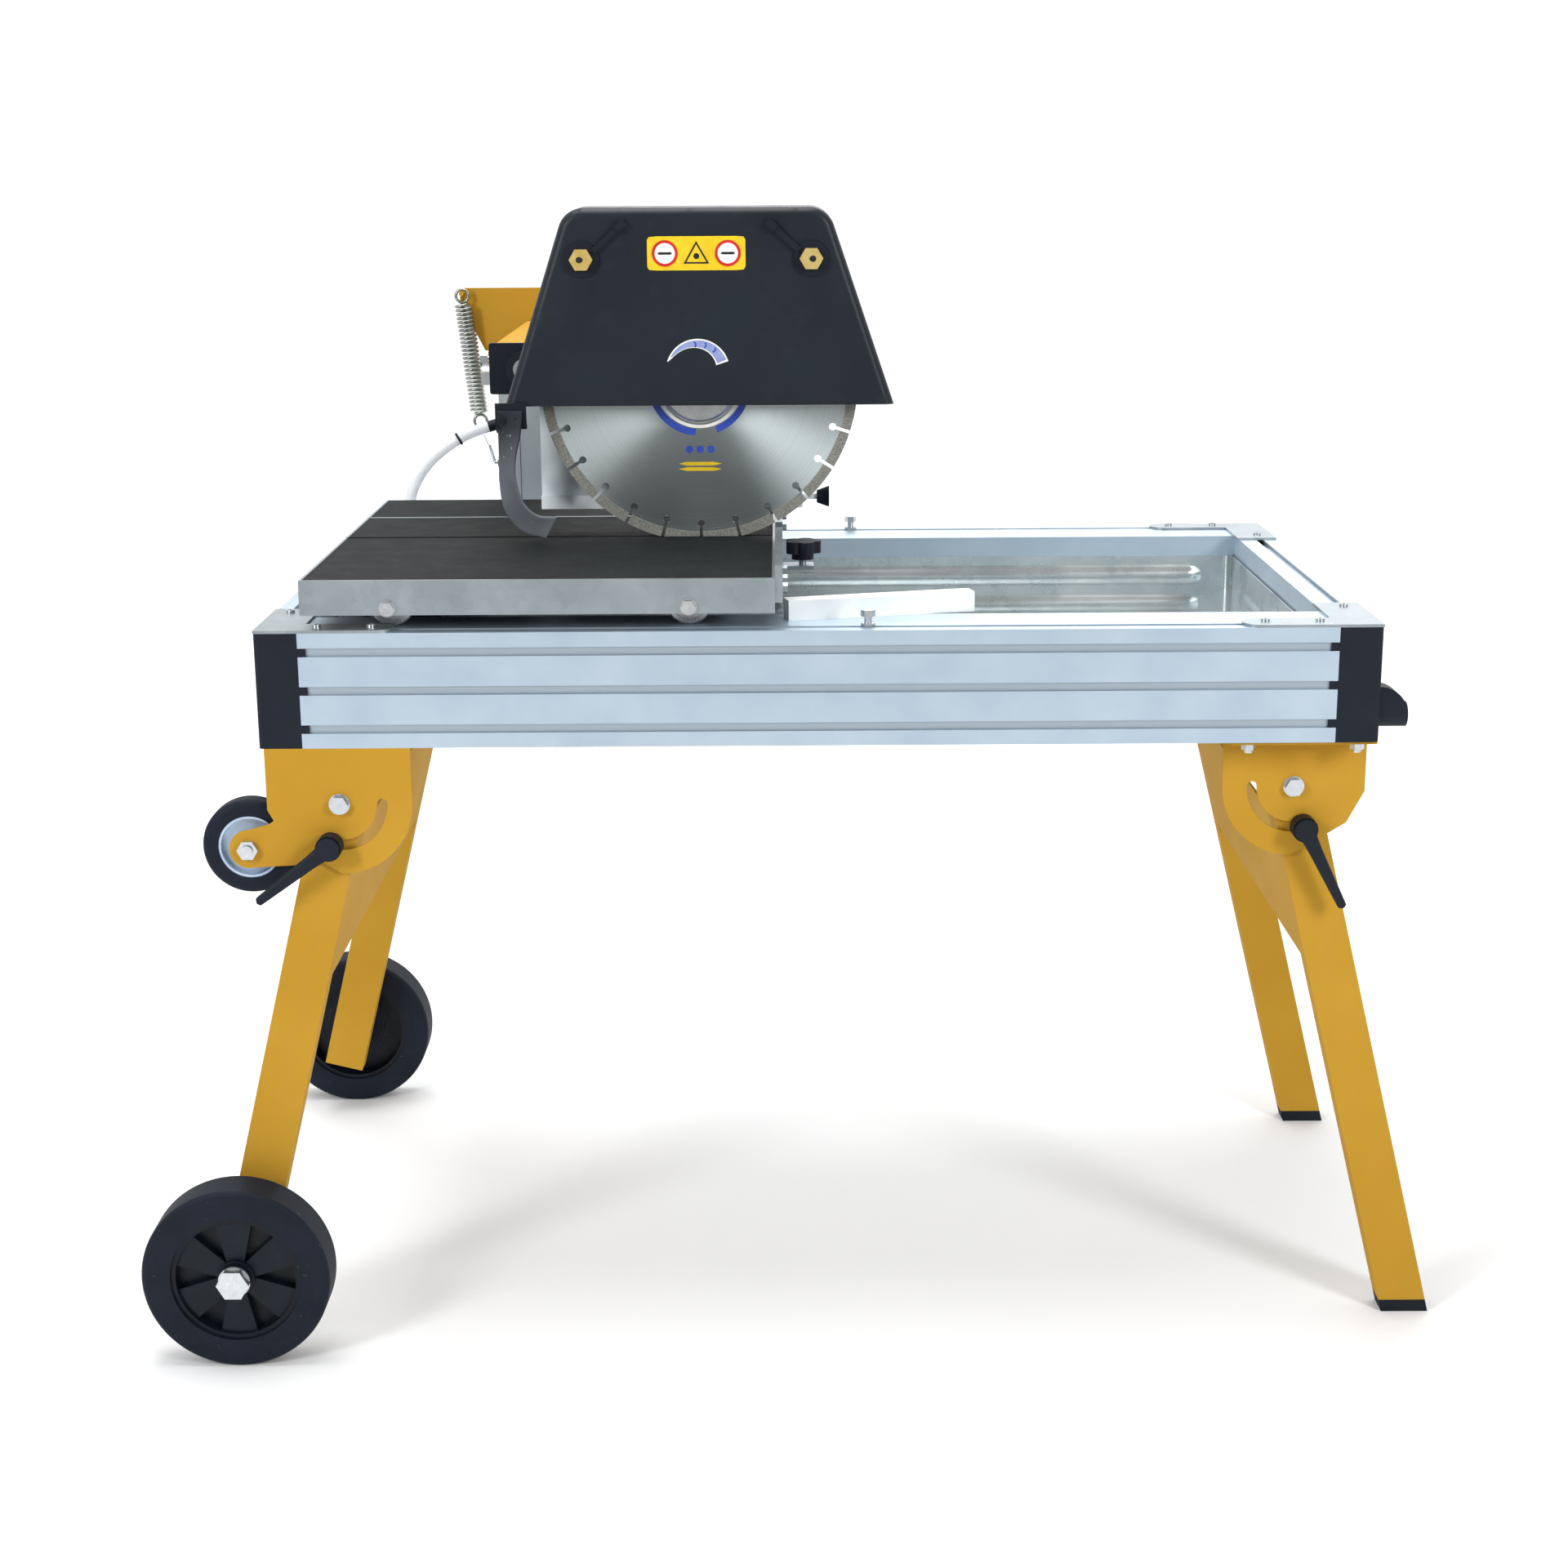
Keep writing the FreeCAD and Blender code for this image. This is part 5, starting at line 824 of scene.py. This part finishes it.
blade_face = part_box("blade")[0].y + 0.5 * MM - FILM
ring_at = (BLADE_MIDDLE.x, blade_face, BLADE_MIDDLE.z)
prints = [flat_ring("print_white", ring_at, 45 * MM, 48.5 * MM, WHITE, 72)]
prints += [flat_ring("print_blue", ring_at, 49.5 * MM, 57 * MM, BLUE, 40, start=radians(a), sweep=radians(95))
           for a in (-70, 50, 170)]
prints += [flat_ring("print_dot", (BLADE_MIDDLE.x + x * MM, blade_face, BLADE_MIDDLE.z - 72 * MM),
                     POINT, 4.2 * MM, BLUE, 20) for x in (-12, 0, 12)]
prints += [flat_ring("print_bar", (BLADE_MIDDLE.x, blade_face, BLADE_MIDDLE.z - z * MM),
                     POINT, 2.0 * MM, YELLOW, 48, shape=5, squash=12) for z in (88, 94)]
blade_print = join("blade_print", prints)
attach(blade_print, "blade")
print("decals:", guard_label.name, turn_arrow.name, blade_print.name)

# %% [markdown]
# ## Pressed ridges in the tray
# The tray is thin galvanised sheet, so long shallow ridges are pressed into its walls
# and floor to stiffen it. They catch the light along their length. A ridge is a patch
# whose height is a smooth hump over the distance from a straight line, so it fades
# into the wall without an edge.


# %% Press the ridges
def ridge(name, start, end, wide, tall, out_way):
    """Height = tall (1 - (d / wide)^2)^2 over the distance d from the line start to end."""
    start, end, out_way = (np.array(v, dtype=float) for v in (start, end, out_way))
    run = end - start
    length = np.linalg.norm(run)
    run /= length
    side = np.cross(out_way, run)
    u = np.linspace(-wide, length + wide, 120)[:, None]
    v = np.linspace(-wide, wide, 17)[None, :]
    beyond_end = np.maximum(np.maximum(-u, u - length), 0)
    distance = np.clip(np.sqrt(beyond_end ** 2 + v ** 2) / wide, 0, 1)
    height = tall * (1 - distance ** 2) ** 2
    points = (start + u[..., None] * run + v[..., None] * side + height[..., None] * out_way)
    return grid_mesh(name, points)


tray_low, tray_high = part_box("water_tray")
FLANGE, SHEET = 12 * MM, 1.5 * MM
PROUD = 0.1 * MM
TRAY_STEP = 8 * MM
wall_y = tray_high.y - FLANGE - SHEET - PROUD
end_x = tray_high.x - SHEET - PROUD
step_z = tray_low.z + TRAY_STEP + PROUD
wall_start, wall_end = -0.02, end_x - 0.05
high_z, low_z, end_z = tray_high.z - 24 * MM, tray_low.z + 28 * MM, tray_low.z + 48 * MM
RIDGES = {
    "wall_ridge_high": ((wall_start, wall_y, high_z), (wall_end, wall_y, high_z), 13, 5, (0, -1, 0)),
    "wall_ridge_low": ((wall_start, wall_y, low_z), (wall_end, wall_y, low_z), 11, 4, (0, -1, 0)),
    "end_ridge": ((end_x, -0.18, end_z), (end_x, 0.18, end_z), 12, 4, (-1, 0, 0)),
    "floor_ridge_a": ((0.02, 0.10, step_z), (0.40, 0.10, step_z), 12, 4, (0, 0, 1)),
    "floor_ridge_b": ((0.02, -0.10, step_z), (0.40, -0.10, step_z), 12, 4, (0, 0, 1)),
}
ridges = [ridge(name, start, end, wide * MM, tall * MM, out_way)
          for name, (start, end, wide, tall, out_way) in RIDGES.items()]
tray_ridges = join("tray_ridges", ridges)
dress(tray_ridges, tray_zinc)
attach(tray_ridges, "frame")
print("ridges:", len(tray_ridges.data.polygons), "faces")
